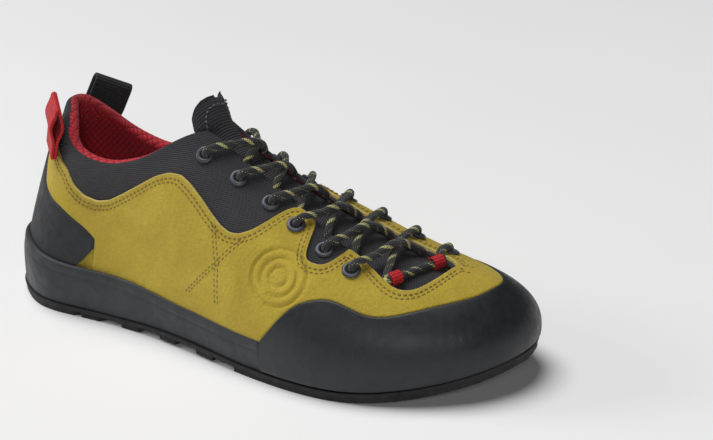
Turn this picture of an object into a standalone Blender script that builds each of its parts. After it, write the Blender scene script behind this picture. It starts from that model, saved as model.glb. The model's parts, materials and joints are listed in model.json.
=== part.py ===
"""A low approach shoe for the right foot, standing empty on its sole.

Metres. The toe points to +X, the inner side of the foot is +Y, up is +Z, and the floor is z = 0.
Every piece follows one surface, the last: columns rise from the edge of the sole to a ridge along
the top. A place on it is given by the column, by how far up the surface it lies from the sole's
edge, and by how far it stands out from the surface. "Round" is the distance along the sole's edge
from the back of the heel, on either side. "Share" is the share of the length from the heel.
"""

import math

import bmesh
import bpy
import numpy as np
from mathutils import Vector

MM = 0.001
LENGTH = 0.286
BALL_WIDTH = 0.104
GAP = 0.3 * MM
OUTER, INNER = "outer", "inner"

# The edge of the sole in plan, as shares of the length and of the ball width.
OUTLINE_COLUMNS = ("share", "outer_side", "inner_side")
OUTLINE = [
    (0.00, -0.005, -0.005),
    (0.02, -0.165, 0.165),
    (0.06, -0.262, 0.268),
    (0.12, -0.343, 0.325),
    (0.22, -0.348, 0.330),
    (0.34, -0.352, 0.285),
    (0.46, -0.402, 0.265),
    (0.56, -0.452, 0.320),
    (0.65, -0.486, 0.400),
    (0.74, -0.488, 0.460),
    (0.82, -0.434, 0.480),
    (0.90, -0.314, 0.450),
    (0.96, -0.165, 0.375),
    (0.99, -0.020, 0.270),
    (1.00, 0.120, 0.120),
]

# The ridge of the last and how each column rounds over to it. The powers are those of a superellipse.
RIDGE_BACK = 50 * MM
RIDGE_FRONT = 28 * MM
SECTION_COLUMNS = ("share", "height_mm", "aside_mm", "side_power", "top_power", "bulge_mm")
SECTIONS = [
    (0.00, 150.0, 0.0, 1.14, 1.08, 0.0),
    (0.08, 147.0, 0.0, 1.25, 1.32, 0.0),
    (0.20, 132.0, 0.0, 1.50, 1.80, 0.0),
    (0.34, 110.0, 1.0, 1.80, 2.20, 0.5),
    (0.45, 95.0, 1.0, 2.10, 2.50, 1.0),
    (0.60, 78.0, 1.0, 2.10, 2.40, 2.0),
    (0.72, 68.0, 1.0, 2.10, 2.40, 2.5),
    (0.84, 59.5, 1.0, 2.10, 2.40, 2.5),
    (0.93, 54.7, 4.0, 2.00, 2.40, 2.0),
    (1.00, 51.8, 7.0, 1.90, 2.40, 1.5),
]

# The sole: thickness of the rubber, lift of the arch, spring of the toe, roll of the heel.
OUTSOLE = 4.8 * MM
ARCH_LIFT = 1.2 * MM
ARCH_FROM, ARCH_TO, ARCH_RAMP = 0.28, 0.60, 0.14
TOE_SPRING = 12.5 * MM
TOE_SPRING_FROM = 0.74
HEEL_ROLL = 2.0 * MM
HEEL_ROLL_TO = 0.035
MIDSOLE_COLUMNS = ("share", "thick_mm")
MIDSOLE_FLOOR = [(0.0, 16.0), (0.3, 14.5), (0.5, 10.5), (0.7, 6.5), (1.0, 5.5)]

# The tread: blocks and gaps by turns round the sole, and rings of them from the edge to the middle.
TREAD_PERIOD = 26.0
TREAD_STEPS = (11.0, 16.0, 21.0, TREAD_PERIOD)
TREAD_RINGS = (0.0, 0.28, 0.37, 1.0)
TREAD_DEPTH = 2.4 * MM
WAIST_FROM, WAIST_TO = 0.20, 0.57

# The proud lip along the top of the midsole, from the heel to where the rand covers it.
LIP_COLUMNS = ("round_mm", "up_mm", "out_mm")
LIP = [
    (0, 28.0, 3.9),
    (15, 28.0, 4.1),
    (30, 27.5, 4.5),
    (50, 25.8, 4.5),
    (65, 24.0, 4.4),
    (95, 23.4, 4.0),
    (112, 22.2, 3.6),
    (137, 18.8, 3.0),
    (160, 17.6, 2.7),
    (200, 16.6, 2.4),
]
LIP_ENDS = (1.4, 0.9, 0.5)
LIP_CLEARANCE = 1.9 * MM
COUNTER_CLEARANCE = 2.7 * MM

# The edge of the collar, up the surface at each distance round the sole.
COLLAR_COLUMNS = ("round_mm", "outer_up_mm", "inner_up_mm")
COLLAR = [
    (0, 101.0, 101.0),
    (20, 99.0, 100.5),
    (40, 91.0, 91.0),
    (60, 82.0, 78.5),
    (75, 78.0, 73.0),
    (88, 77.6, 71.5),
    (98, 80.2, 74.0),
    (107, 85.0, 79.5),
    (115, 91.5, 86.5),
    (122, 99.0, 95.5),
    (130, 110.0, 107.5),
    (145, 134.0, 132.0),
]
COLLAR_CORNER = 2.2 * MM

# The edges of the throat, down the surface from the ridge.
THROAT_FRONT = 0.968
THROAT_COLUMNS = ("share", "outer_mm", "inner_mm")
THROAT = [
    (0.25, 14.0, 9.0),
    (0.40, 13.2, 8.5),
    (0.50, 12.2, 8.0),
    (0.60, 12.2, 8.0),
    (0.66, 15.5, 8.2),
    (0.72, 19.8, 8.6),
    (0.77, 20.6, 8.8),
    (0.80, 22.8, 9.0),
    (0.83, 27.2, 9.0),
    (0.855, 28.8, 9.0),
    (0.885, 24.4, 8.6),
    (0.912, 16.4, 7.6),
    (0.945, 6.4, 4.6),
    (THROAT_FRONT, 0.0, 0.0),
]
WALL = 2.6 * MM
COLLAR_PAD = 4.2 * MM
PAD_PUFF = 1.0 * MM
PAD_DEPTH = 28 * MM
PAD_FADE_FROM, PAD_FADE_TO = 96 * MM, 114 * MM

# The rubber rand round the forefoot: its top edge on both sides. The last row is moved to the toe.
RAND_START_OUTER, RAND_START_INNER = 199.6, 188.0
RAND_COLUMNS = ("round_mm", "up_mm")
RAND_TOP_OUTER = [
    (199.6, 16.5), (203.5, 21.5), (210, 29.8), (217, 37.0), (223, 40.2), (229, 42.2), (235, 42.3),
    (242, 40.4), (249, 37.7), (257, 35.8), (264, 35.6), (274, 36.2), (285, 36.6), (296, 36.2), (309, 35.0),
    (323, 34.4), (336, 34.3),
]
RAND_TOP_INNER = [
    (188, 15.5), (193, 20.5), (200, 28.5), (208, 34.0), (218, 36.8), (232, 36.6), (248, 36.6), (262, 38.6),
    (274, 41.0), (286, 41.8), (298, 40.6), (308, 37.6), (318, 35.2), (328, 34.3),
]
RAND = 2.4 * MM
RAND_FOOT = 1.3 * MM
RAND_FIRST_STEPS = (0.0, 3.5, 8.0, 13.0, 18.0)

# The heel counter: its lower edge hides behind the lip and rises at its two front ends.
COUNTER_COLUMNS = ("round_mm", "low_mm", "up_mm")
COUNTER = [
    (0.0, 21.0, 86.0),
    (8.0, 21.0, 85.0),
    (13.0, 21.0, 79.0),
    (20.0, 21.0, 71.0),
    (28.0, 21.0, 65.0),
    (36.0, 21.0, 59.5),
    (50.0, 20.5, 55.4),
    (61.0, 20.5, 51.8),
    (72.0, 20.5, 46.9),
    (77.0, 24.4, 44.8),
    (81.0, 28.0, 42.8),
    (84.5, 31.6, 40.6),
    (86.8, 35.2, 38.6),
]
COUNTER_OUT = 1.75 * MM
COUNTER_NOSE = 76.5
COUNTER_PLACES = (0, 5, 8, 13, 20, 28, 36, 43, 50, 57, 64, 72, 77, 81, 84.5, 86.8)

# The suede overlay: its upper border as a line of places, round the sole and up the surface.
SUEDE_COLUMNS = ("round_mm", "up_mm")
SUEDE_TOP_OUTER = [
    (0, 92.0), (5, 91.6), (10, 90.6), (15, 88.9), (20, 86.5), (34, 80.5), (48, 76.8), (60, 71.6),
    (68, 64.4), (76, 60.2), (85, 58.8), (93, 60.6),
    (101, 65.4), (111, 72.0), (119, 77.4), (126, 80.2), (133, 80.4), (141, 77.0), (150, 71.8), (158, 66.6),
    (165, 62.6), (171, 60.8), (176, 61.4), (182, 65.2), (187, 71.6), (191, 79.0), (193.6, 83.2), (197, 84.8),
    (204, 82.8), (211, 79.4), (213, 75.6), (211.6, 70.0), (210.6, 64.0), (212, 60.2), (216.5, 58.2),
    (223, 57.8), (227, 60.2), (230.6, 65.2),
]
SUEDE_TOP_INNER = [
    (0, 92.0), (5, 91.6), (10, 90.4), (15, 88.5), (20, 86.0), (34, 79.0), (48, 73.5), (60, 70.0),
    (72, 69.5), (84, 71.5), (96, 75.0), (108, 77.5),
    (118, 77.0), (130, 71.5), (142, 64.5), (154, 58.5), (163, 56.6), (171, 59.0), (180, 66.0), (187, 74.0),
    (190, 78.0),
]
SUEDE_OUT = 1.6 * MM
SUEDE_BEHIND = 0.75 * MM
SUEDE_MARGIN = 0.8 * MM
SUEDE_TUCK = 5.0 * MM

SUEDE_THROAT = (
    0.62, 0.64, 0.66, 0.68, 0.705, 0.73, 0.76, 0.78, 0.80, 0.82, 0.84, 0.86, 0.88, 0.895, 0.912, 0.93, 0.945,
    THROAT_FRONT, 0.985, 1.0)

# The tongue: half widths either side of the ridge and its lift off the last, from front to top.
TONGUE_COLUMNS = ("share", "outer_mm", "inner_mm", "lift_mm")
TONGUE = [
    (1.000, 9.0, 8.0, 0.0),
    (0.960, 21.0, 13.0, 0.0),
    (0.910, 32.0, 16.0, 0.0),
    (0.860, 35.0, 18.0, 0.0),
    (0.800, 32.0, 19.0, 0.0),
    (0.720, 28.0, 19.0, 0.0),
    (0.600, 24.0, 20.0, 0.0),
    (0.500, 22.5, 20.0, 0.0),
    (0.430, 22.0, 20.5, 0.3),
    (0.395, 21.0, 20.5, 2.4),
    (0.380, 20.0, 20.5, 4.0),
    (0.367, 19.5, 21.0, 5.8),
    (0.352, 18.0, 22.0, 8.0),
    (0.341, 14.5, 19.5, 9.6),
    (0.334, 9.0, 14.0, 10.6),
]
TONGUE_THICK = 5.0 * MM
TONGUE_EDGE = 1.6 * MM
TONGUE_LIFT_REACH = {OUTER: 12.0 * MM, INNER: 7.5 * MM}
TONGUE_CURL, TONGUE_CURL_REACH = 0.55, 20.0 * MM
TONGUE_DROP = 3.8 * MM

# Eyelets: places along the throat and how far each lies down from the ridge.
EYELET_COLUMNS = ("share", "from_ridge_mm", "on_suede")
EYELETS = {
    OUTER: [
        (0.419, 23.5, False),
        (0.496, 21.6, False),
        (0.570, 21.4, False),
        (0.636, 24.7, True),
        (0.706, 27.7, False),
        (0.768, 31.0, True),
    ],
    INNER: [
        (0.415, 21.0, False),
        (0.492, 19.0, False),
        (0.562, 18.3, False),
        (0.648, 18.5, True),
        (0.728, 19.0, True),
        (0.808, 19.5, True),
        (0.888, 18.0, True),
    ],
}
EYELET_RING = 4.5 * MM
EYELET_HOLE = 2.2 * MM
EYELET_BARREL = 2.9 * MM
EYELET_RISE = 1.0 * MM
EYELET_SINK = 2.2 * MM
EYELET_SIDES = 9

LACE = 1.85 * MM
LACE_RIDE = 4.0 * MM
LACE_SPREAD = 2.7 * MM
LACE_END = 6.0 * MM
LACE_OVER = 1.1 * MM
LAST_LACE_TURN = (0.852, 24.0, False)

# The webbing tabs at the front of the throat that the lace runs through: share and way down from the ridge.
TAB_COLUMNS = ("share", "from_ridge_mm")
TABS = {OUTER: (0.845, 23.0), INNER: (0.922, 1.6)}
TAB_HEIGHT, TAB_WIDTH, TAB_GAP, TAB_THICK, TAB_BASE = 7.6 * MM, 6.0 * MM, 4.6 * MM, 1.1 * MM, -3.3 * MM
BAR_PAST_TAB = 4.0 * MM

# The pull loops at the back of the collar: where their feet lie, and how they stand off it.
LOOP_COLUMNS = ("round_mm", "foot_up_mm", "height_mm", "lean_mm", "fall")
LOOPS = {OUTER: (34.0, 78.0, 28.0, 4.8, 0.2), INNER: (29.8, 76.0, 30.2, 7.1, 0.39)}
LOOP_WIDTH, LOOP_GAP, LOOP_THICK, LOOP_BASE = 20.5 * MM, 4.4 * MM, 1.5 * MM, 3.3 * MM

COLOURS = {
    "outsole": (0.030, 0.030, 0.032),
    "midsole": (0.065, 0.068, 0.074),
    "textile": (0.065, 0.065, 0.072),
    "suede": (0.62, 0.47, 0.10),
    "rand": (0.035, 0.038, 0.043),
    "counter": (0.050, 0.052, 0.056),
    "insole": (0.40, 0.02, 0.03),
    "eyelet": (0.10, 0.11, 0.14),
    "lace": (0.045, 0.046, 0.050),
    "red_webbing": (0.75, 0.02, 0.035),
    "black_webbing": (0.025, 0.025, 0.028),
}

COLUMN_ROWS = 181
ARC_STEPS = 3601


def material(name, roughness=0.8, metallic=0.0):
    made = bpy.data.materials.new(name)
    made.use_nodes = True
    shader = made.node_tree.nodes["Principled BSDF"]
    shader.inputs["Base Color"].default_value = (*COLOURS[name], 1.0)
    shader.inputs["Roughness"].default_value = roughness
    shader.inputs["Metallic"].default_value = metallic
    return made


def smooth_step(value):
    held = np.clip(value, 0.0, 1.0)
    return held * held * (3.0 - 2.0 * held)


def spline(places, values, closed=False):
    """A function through the values: a natural cubic spline, or one that closes on itself."""
    places = np.asarray(places, float)
    values = np.asarray(values, float)
    steps = np.diff(places)
    count = len(places) - 1 if closed else len(places)
    matrix = np.zeros((count, count))
    right = np.zeros(count)
    slopes = np.diff(values) / steps
    for i in range(count):
        if not closed and i in (0, count - 1):
            matrix[i, i] = 1.0
            continue
        matrix[i, (i - 1) % count] += steps[i - 1]
        matrix[i, i] += 2.0 * (steps[i - 1] + steps[i])
        matrix[i, (i + 1) % count] += steps[i]
        right[i] = 6.0 * (slopes[i] - slopes[i - 1])
    bends = np.linalg.solve(matrix, right)
    if closed:
        bends = np.append(bends, bends[0])

    def at(where):
        where = np.asarray(where, float)
        i = np.clip(np.searchsorted(places, where) - 1, 0, len(places) - 2)
        left, gone = places[i + 1] - where, where - places[i]
        step = steps[i]
        curve = (bends[i] * left**3 + bends[i + 1] * gone**3) / (6.0 * step)
        line = (values[i] / step - bends[i] * step / 6.0) * left
        return curve + line + (values[i + 1] / step - bends[i + 1] * step / 6.0) * gone

    return at


def table(rows):
    return np.array(rows, float).T


def ground(x):
    """How far the sole as a whole lifts off the floor, at the arch and at the toe."""
    share = x / LENGTH + 0.5
    arch = smooth_step((share - ARCH_FROM) / ARCH_RAMP) * smooth_step((ARCH_TO - share) / ARCH_RAMP)
    toe = np.clip((share - TOE_SPRING_FROM) / (1.0 - TOE_SPRING_FROM), 0.0, 1.0) ** 2
    return ARCH_LIFT * arch + TOE_SPRING * toe


def underside(x):
    """Height of the tread: the same, and rolled up at the back of the heel."""
    share = x / LENGTH + 0.5
    heel = np.clip((HEEL_ROLL_TO - share) / HEEL_ROLL_TO, 0.0, 1.0) ** 2
    return ground(x) + HEEL_ROLL * heel


def face_outward(form):
    """Turns the faces of a closed mesh outward. A ring can come out of recalc_face_normals inside out."""
    bmesh.ops.recalc_face_normals(form, faces=form.faces)
    if form.calc_volume(signed=True) < 0.0:
        bmesh.ops.reverse_faces(form, faces=form.faces)


class Last:
    """The surface that all pieces follow. A column is named by its angle round the sole."""

    def __init__(self):
        share, outer, inner = table(OUTLINE)
        half = np.arccos(1.0 - 2.0 * share)
        angles = np.concatenate([half, 2.0 * math.pi - half[-2::-1]])
        self.side_y = spline(angles, np.concatenate([outer, inner[-2::-1]]) * BALL_WIDTH, closed=True)
        share, height, aside, side_power, top_power, bulge = table(SECTIONS)
        self.ridge_height = spline(share, height * MM)
        self.ridge_aside = spline(share, aside * MM)
        self.side_power = spline(share, side_power)
        self.top_power = spline(share, top_power)
        self.bulge = spline(share, bulge * MM)
        fine = np.linspace(0.0, 2.0 * math.pi, ARC_STEPS)
        x, y = self.edge(fine)
        arc = np.concatenate([[0.0], np.cumsum(np.hypot(np.diff(x), np.diff(y)))])
        self.fine_angles, self.fine_arc = fine, arc

    def edge(self, angle):
        return -0.5 * LENGTH * np.cos(angle), self.side_y(angle)

    def angle_of_share(self, side, share):
        half = np.arccos(np.clip(1.0 - 2.0 * np.asarray(share, float), -1.0, 1.0))
        return half if side == OUTER else 2.0 * math.pi - half

    def angle_of_round(self, side, round_mm):
        along = np.asarray(round_mm, float) * MM
        if side == INNER:
            along = self.fine_arc[-1] - along
        return np.interp(along, self.fine_arc, self.fine_angles)

    def round_of(self, side, angle):
        along = np.interp(angle, self.fine_angles, self.fine_arc)
        return along if side == OUTER else self.fine_arc[-1] - along

    def share_of(self, angle):
        return 0.5 - 0.5 * np.cos(angle)

    def toe_round(self, side):
        """Distance round the sole's edge from heel to toe on one side, in mm."""
        return float(self.round_of(side, math.pi)) / MM

    def ridge(self, share):
        x = -0.5 * LENGTH + RIDGE_BACK + (LENGTH - RIDGE_BACK - RIDGE_FRONT) * share
        return x, self.ridge_aside(share), self.ridge_height(share)

    def ridge_slope(self, share):
        step = 1e-4
        rise = self.ridge_height(share + step) - self.ridge_height(share - step)
        return rise / (2.0 * step * (LENGTH - RIDGE_BACK - RIDGE_FRONT))

    def columns(self, angle):
        """Points of each column from the sole's edge to the ridge, one row of points a column."""
        angle = np.asarray(angle, float)
        share = self.share_of(angle)[:, None]
        turn = np.linspace(0.0, 0.5 * math.pi, COLUMN_ROWS)[None]
        inward = 1.0 - np.cos(turn) ** (2.0 / self.side_power(share))
        upward = np.sin(turn) ** (2.0 / self.top_power(share))
        edge_x, edge_y = (value[:, None] for value in self.edge(angle))
        top_x, top_y, top_z = self.ridge(share)
        reach = np.hypot(top_x - edge_x, top_y - edge_y)
        out = self.bulge(share) * np.sin(math.pi * np.clip(upward, 0.0, 1.0))
        along = inward - out / reach
        x = edge_x + (top_x - edge_x) * along
        y = edge_y + (top_y - edge_y) * along
        base = ground(edge_x) + OUTSOLE
        ceiling = top_z + self.ridge_slope(share) * (x - top_x)
        return np.stack([x, y, base + (ceiling - base) * upward], axis=-1)

    def detail(self, angle):
        """Columns with the distance up each and the outward normals."""
        angle = np.asarray(angle, float)
        points = self.columns(angle)
        turn = 1e-4
        across = self.columns(angle + turn) - self.columns(angle - turn)
        along = np.gradient(points, axis=1)
        normals = np.cross(across, along)
        normals /= np.maximum(np.linalg.norm(normals, axis=2, keepdims=True), 1e-12)
        slope = self.ridge_slope(self.share_of(angle))
        top = np.stack([-slope, np.zeros_like(slope), np.ones_like(slope)], axis=-1)
        top /= np.linalg.norm(top, axis=1, keepdims=True)
        normals[:, -1] = top
        lengths = np.linalg.norm(np.diff(points, axis=1), axis=2)
        up = np.concatenate([np.zeros((len(angle), 1)), np.cumsum(lengths, axis=1)], axis=1)
        return points, up, normals

    def top(self, angle):
        """Distance up the surface from the sole's edge to the ridge."""
        return self.detail(np.atleast_1d(angle))[1][:, -1]

    def up_at_level(self, angle, level):
        """Distance up each column at which it meets a level, which is a function of x."""
        points, up, _ = self.detail(angle)
        return np.array([np.interp(0.0, p[:, 2] - level(p[:, 0]), u) for p, u in zip(points, up)])

    def place(self, angle, up, out):
        """Points on the last: angle holds one column each, up and out a row of values for each."""
        points, measure, normals = self.detail(angle)
        up = np.atleast_2d(up)
        out = np.broadcast_to(np.asarray(out, float), up.shape)
        made = np.empty((*up.shape, 3))
        for i in range(len(points)):
            ups = np.clip(up[i], 0.0, measure[i, -1])
            for axis in range(3):
                on = np.interp(ups, measure[i], points[i, :, axis])
                normal = np.interp(ups, measure[i], normals[i, :, axis])
                made[i, :, axis] = on + out[i] * normal
        return made

    def spot(self, side, share, from_ridge, out=0.0):
        """One point a given way down from the ridge, with the normal there."""
        angle = np.atleast_1d(self.angle_of_share(side, share))
        up = self.top(angle) - from_ridge
        low = self.place(angle, up[:, None], 0.0)[0, 0]
        high = self.place(angle, up[:, None], 1.0)[0, 0]
        return low + out * (high - low), high - low


LAST = Last()


class Shell:
    """Collects sheets of points and welds them into one closed object."""

    def __init__(self):
        self.points = []
        self.faces = []

    def sheet(self, grid, flip=False):
        grid = np.asarray(grid, float)
        rows, columns = grid.shape[:2]
        start = sum(len(part) for part in self.points)
        self.points.append(grid.reshape(-1, 3))
        for i in range(rows - 1):
            for j in range(columns - 1):
                a = start + i * columns + j
                corners = (a, a + 1, a + columns + 1, a + columns)
                self.faces.append(corners[::-1] if flip else corners)

    def slab(self, front, back):
        """Two matching sheets and the four edges between them."""
        self.sheet(front)
        self.sheet(back, flip=True)
        for pick in ((slice(None), 0), (slice(None), -1), (0, slice(None)), (-1, slice(None))):
            self.sheet(np.stack([front[pick], back[pick]]))

    def build(self, name, look, smooth_angle=35.0):
        data = bpy.data.meshes.new(name)
        data.from_pydata(np.concatenate(self.points).tolist(), [], self.faces)
        form = bmesh.new()
        form.from_mesh(data)
        bmesh.ops.remove_doubles(form, verts=form.verts, dist=1e-6)
        bmesh.ops.dissolve_degenerate(form, edges=form.edges, dist=1e-7)
        face_outward(form)
        form.to_mesh(data)
        form.free()
        data.shade_smooth()
        data.set_sharp_from_angle(angle=math.radians(smooth_angle))
        data.materials.append(look)
        item = bpy.data.objects.new(name, data)
        bpy.context.collection.objects.link(item)
        return item


def even_shares(count, extra=()):
    """Shares from heel to toe at even steps round the outer edge."""
    rounds = np.linspace(0.0, LAST.toe_round(OUTER), count + 1)
    shares = LAST.share_of(LAST.angle_of_round(OUTER, rounds))
    shares[0], shares[-1] = 0.0, 1.0
    shares = [s for s in shares if all(abs(s - e) > 0.006 for e in extra)]
    return np.array(sorted([*shares, *extra]))


def floor_height(x):
    """Top of the midsole's floor."""
    share, thick = table(MIDSOLE_FLOOR)
    return ground(x) + OUTSOLE + GAP + np.interp(x / LENGTH + 0.5, share, thick) * MM


def collar_up(side, angle):
    """How far up the surface the edge of the collar or throat lies, before the throat closes."""
    rounds, outer, inner = table(COLLAR)
    ups = spline(rounds, outer if side == OUTER else inner)
    where = LAST.round_of(side, angle) / MM
    collar = ups(np.minimum(where, rounds[-1])) * MM + np.maximum(where - rounds[-1], 0.0) * 1.5 * MM
    share, outer, inner = table(THROAT)
    widths = outer if side == OUTER else inner
    down = np.interp(LAST.share_of(angle), share, widths) * MM
    throat = LAST.top(angle) - down
    low = np.minimum(collar, throat)
    blend = np.exp(-(collar - low) / COLLAR_CORNER) + np.exp(-(throat - low) / COLLAR_CORNER)
    return low - COLLAR_CORNER * np.log(blend) * (down > 6 * MM), down


def wall_thickness(side, angle, up, edge):
    """The wall thickens to a pad below the collar's edge."""
    where = LAST.round_of(side, angle)[:, None]
    near = smooth_step(1.0 - (edge[:, None] - up) / PAD_DEPTH)
    fade = smooth_step((PAD_FADE_TO - where) / (PAD_FADE_TO - PAD_FADE_FROM))
    return near * fade


def make_upper(look):
    """One hollow wall, open at the collar, along the throat and underneath."""
    shell = Shell()
    shares = even_shares(32, (THROAT_FRONT,))
    rows = np.linspace(0.0, 1.0, 9)
    for side in (OUTER, INNER):
        angles = LAST.angle_of_share(side, shares)
        tops = LAST.top(angles)
        edge, down = collar_up(side, angles)
        open_above = shares <= THROAT_FRONT
        edge = np.where(open_above & (down > 0), edge, tops)
        bottom = LAST.up_at_level(angles, lambda x: floor_height(x) + GAP)
        up = bottom[:, None] + (edge - bottom)[:, None] * rows
        pad = wall_thickness(side, angles, up, edge)
        puff = PAD_PUFF * pad * pad * np.sin(math.pi * rows)
        outer = LAST.place(angles, up, puff)
        inner = LAST.place(angles, up, -(WALL + COLLAR_PAD * pad))
        for wall in (outer, inner):
            wall[:, 0, 2] = floor_height(wall[:, 0, 0]) + GAP
        shell.sheet(outer)
        shell.sheet(inner, flip=True)
        shell.sheet(np.stack([outer[:, 0], inner[:, 0]]))
        lips = np.nonzero(open_above)[0]
        thick = (WALL + COLLAR_PAD * pad[:, -1])[lips]
        rise = np.minimum(0.5 * thick, 0.7 * (tops - edge)[lips])
        turns = np.linspace(0.0, math.pi, 4)[1:-1]
        lip_up = edge[lips][:, None] + rise[:, None] * np.sin(turns)
        lip_out = -0.5 * thick[:, None] * (1.0 - np.cos(turns))
        rim = LAST.place(angles[lips], lip_up, lip_out)
        rim = np.concatenate([outer[lips, -1:], rim, inner[lips, -1:]], axis=1)
        shell.sheet(rim)
    return shell.build("upper", look)


def make_midsole(look):
    """A cup: side wall with a proud lip, floor under the foot, flat underside."""
    shell = Shell()
    rounds, lip_up, lip_out = table(LIP)
    for side in (OUTER, INNER):
        start = RAND_START_OUTER if side == OUTER else RAND_START_INNER
        extras = []
        for each, begin in ((OUTER, RAND_START_OUTER), (INNER, RAND_START_INNER)):
            extras += [float(LAST.share_of(LAST.angle_of_round(each, begin - step))) for step in LIP_ENDS]
        shares = even_shares(26, sorted(extras))
        angles = LAST.angle_of_share(side, shares)
        where = LAST.round_of(side, angles) / MM
        lowered = where > start - LIP_ENDS[1] - 0.1
        covered = where > start - LIP_ENDS[2] - 0.1
        foot = np.zeros(len(angles))
        floor = LAST.up_at_level(angles, floor_height)
        scale = rounds[-1] / start
        up = np.where(lowered, floor, spline(rounds, lip_up)(np.minimum(where * scale, rounds[-1])) * MM)
        out = np.where(covered, -0.35 * MM, spline(rounds, lip_out)(np.minimum(where * scale, rounds[-1])) * MM)
        counter_ends = smooth_step((COUNTER[-1][0] + 6.0 - where) / 4.0)
        inside = LIP_CLEARANCE + (COUNTER_CLEARANCE - LIP_CLEARANCE) * counter_ends
        inside = np.where(covered, -0.7 * MM, inside)
        inside_low = np.where(covered, -1.0 * MM, inside)
        ups = np.stack([foot, 0.4 * up, up - 5.0 * MM, up - 1.8 * MM, up - 0.5 * MM, up, up - 0.4 * MM, floor], axis=1)
        ups = np.where(lowered[:, None], np.stack([foot] + [f * up for f in (0.3, 0.6, 0.8, 0.95, 1, 1, 1)], axis=1), ups)
        foot_out = 0.9 * MM * smooth_step(shares / 0.12)
        outs = [foot_out, 0.35 * out + 0.66 * foot_out, 0.80 * out, out, 0.93 * out, 0.72 * out, inside, inside_low]
        bare = [-0.35 * MM] * 5 + [-0.5 * MM, -0.75 * MM, -1.0 * MM]
        outs = np.where(covered[:, None], np.array(bare)[None], np.stack(outs, axis=1))
        wall = LAST.place(angles, ups, outs)
        wall[:, 0, 2] = ground(wall[:, 0, 0]) + OUTSOLE + GAP
        wall[:, -1, 2] = floor_height(wall[:, -1, 0])
        shell.sheet(wall)
        centre_x, centre_y, _ = LAST.ridge(shares)
        centre = np.stack([centre_x, centre_y], axis=1)
        for ring, level in ((-1, floor_height), (0, lambda v: ground(v) + OUTSOLE + GAP)):
            rim = wall[:, ring]
            plate = []
            for part in (0.0, 0.5, 1.0):
                flat = rim[:, :2] * (1.0 - part) + centre * part
                height = rim[:, 2] if part == 0.0 else level(flat[:, 0])
                plate.append(np.column_stack([flat, height]))
            shell.sheet(np.stack(plate, axis=1), flip=ring == 0)
    return shell.build("midsole", look)


def make_outsole(look):
    """Rubber sole with blocks round its edge and inside. The waist's edge blocks stand apart."""
    shell = Shell()
    length = LAST.toe_round(OUTER)
    marks = [0.0]
    while marks[-1] < length - TREAD_PERIOD:
        begin = marks[-1]
        marks += [begin + step for step in TREAD_STEPS]
    marks[-1] = length
    shares = LAST.share_of(LAST.angle_of_round(OUTER, marks))
    shares[0], shares[-1] = 0.0, 1.0
    count = len(shares) - 1

    def is_block(i, k):
        """Whether a cell touches the floor; None past the ends."""
        if not (0 <= i < count and 0 <= k < len(TREAD_RINGS) - 1):
            return None
        if k % 2:
            return False
        if k > 0:
            return i % 2 == 0
        in_waist = WAIST_FROM < 0.5 * (shares[i] + shares[i + 1]) < WAIST_TO
        return i % 4 == 0 if in_waist else True

    for side in (OUTER, INNER):
        angles = LAST.angle_of_share(side, shares)
        foot = np.zeros((len(angles), 1))
        heel_tuck = 1.2 * MM * smooth_step(1.0 - shares / 0.12)
        band = LAST.place(angles, foot, (1.3 * MM - heel_tuck)[:, None])[:, 0]
        top_band = LAST.place(angles, foot, (2.0 * MM - heel_tuck)[:, None])[:, 0]
        centre_x, centre_y, _ = LAST.ridge(shares)
        centre = np.stack([centre_x, centre_y], axis=1)
        flat = [band[:, :2] * (1.0 - part) + centre * part for part in TREAD_RINGS]
        low = np.stack([np.column_stack([f, underside(f[:, 0])]) for f in flat], axis=1)
        high = np.stack([np.column_stack([f, ground(f[:, 0]) + TREAD_DEPTH]) for f in flat], axis=1)
        for i in range(count):
            for k in range(len(TREAD_RINGS) - 1):
                block = is_block(i, k)
                shell.sheet((low if block else high)[i:i + 2, k:k + 2])
                if not block:
                    continue
                for step_i, step_k, ends in (
                    (1, 0, ((i + 1, k), (i + 1, k + 1))),
                    (-1, 0, ((i, k), (i, k + 1))),
                    (0, 1, ((i, k + 1), (i + 1, k + 1))),
                    (0, -1, ((i, k), (i + 1, k))),
                ):
                    beside = is_block(i + step_i, k + step_k)
                    if beside or (beside is None and step_k >= 0):
                        continue
                    shell.sheet(np.array([[low[end] for end in ends], [high[end] for end in ends]]))
        top_rim = np.column_stack([top_band[:, :2], ground(top_band[:, 0]) + OUTSOLE])
        shell.sheet(np.stack([high[:, 0], top_rim], axis=1))
        plate = []
        for part in (0.0, 0.5, 1.0):
            spread = top_rim[:, :2] * (1.0 - part) + centre * part
            plate.append(np.column_stack([spread, ground(spread[:, 0]) + OUTSOLE]))
        shell.sheet(np.stack(plate, axis=1))
    return shell.build("outsole", look, smooth_angle=25.0)


def make_insole(look):
    """The footbed, laid on the midsole's floor inside the upper."""
    shell = Shell()
    thick = 3.2 * MM
    shares = even_shares(24)
    for side in (OUTER, INNER):
        angles = LAST.angle_of_share(side, shares)
        centre_x, centre_y, _ = LAST.ridge(shares)
        centre = np.stack([centre_x, centre_y], axis=1)
        for lift in (GAP, GAP + thick):
            up = LAST.up_at_level(angles, lambda x: floor_height(x) + lift)
            rim = LAST.place(angles, up[:, None], -(WALL + 2 * GAP))[:, 0]
            plate = []
            for part in (0.0, 0.5, 1.0):
                flat = rim[:, :2] * (1.0 - part) + centre * part
                plate.append(np.column_stack([flat, floor_height(flat[:, 0]) + lift]))
            shell.sheet(np.stack(plate, axis=1))
            if lift == GAP:
                low_rim = plate[0]
            else:
                shell.sheet(np.stack([low_rim, plate[0]], axis=1))
    return shell.build("insole", look)


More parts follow.
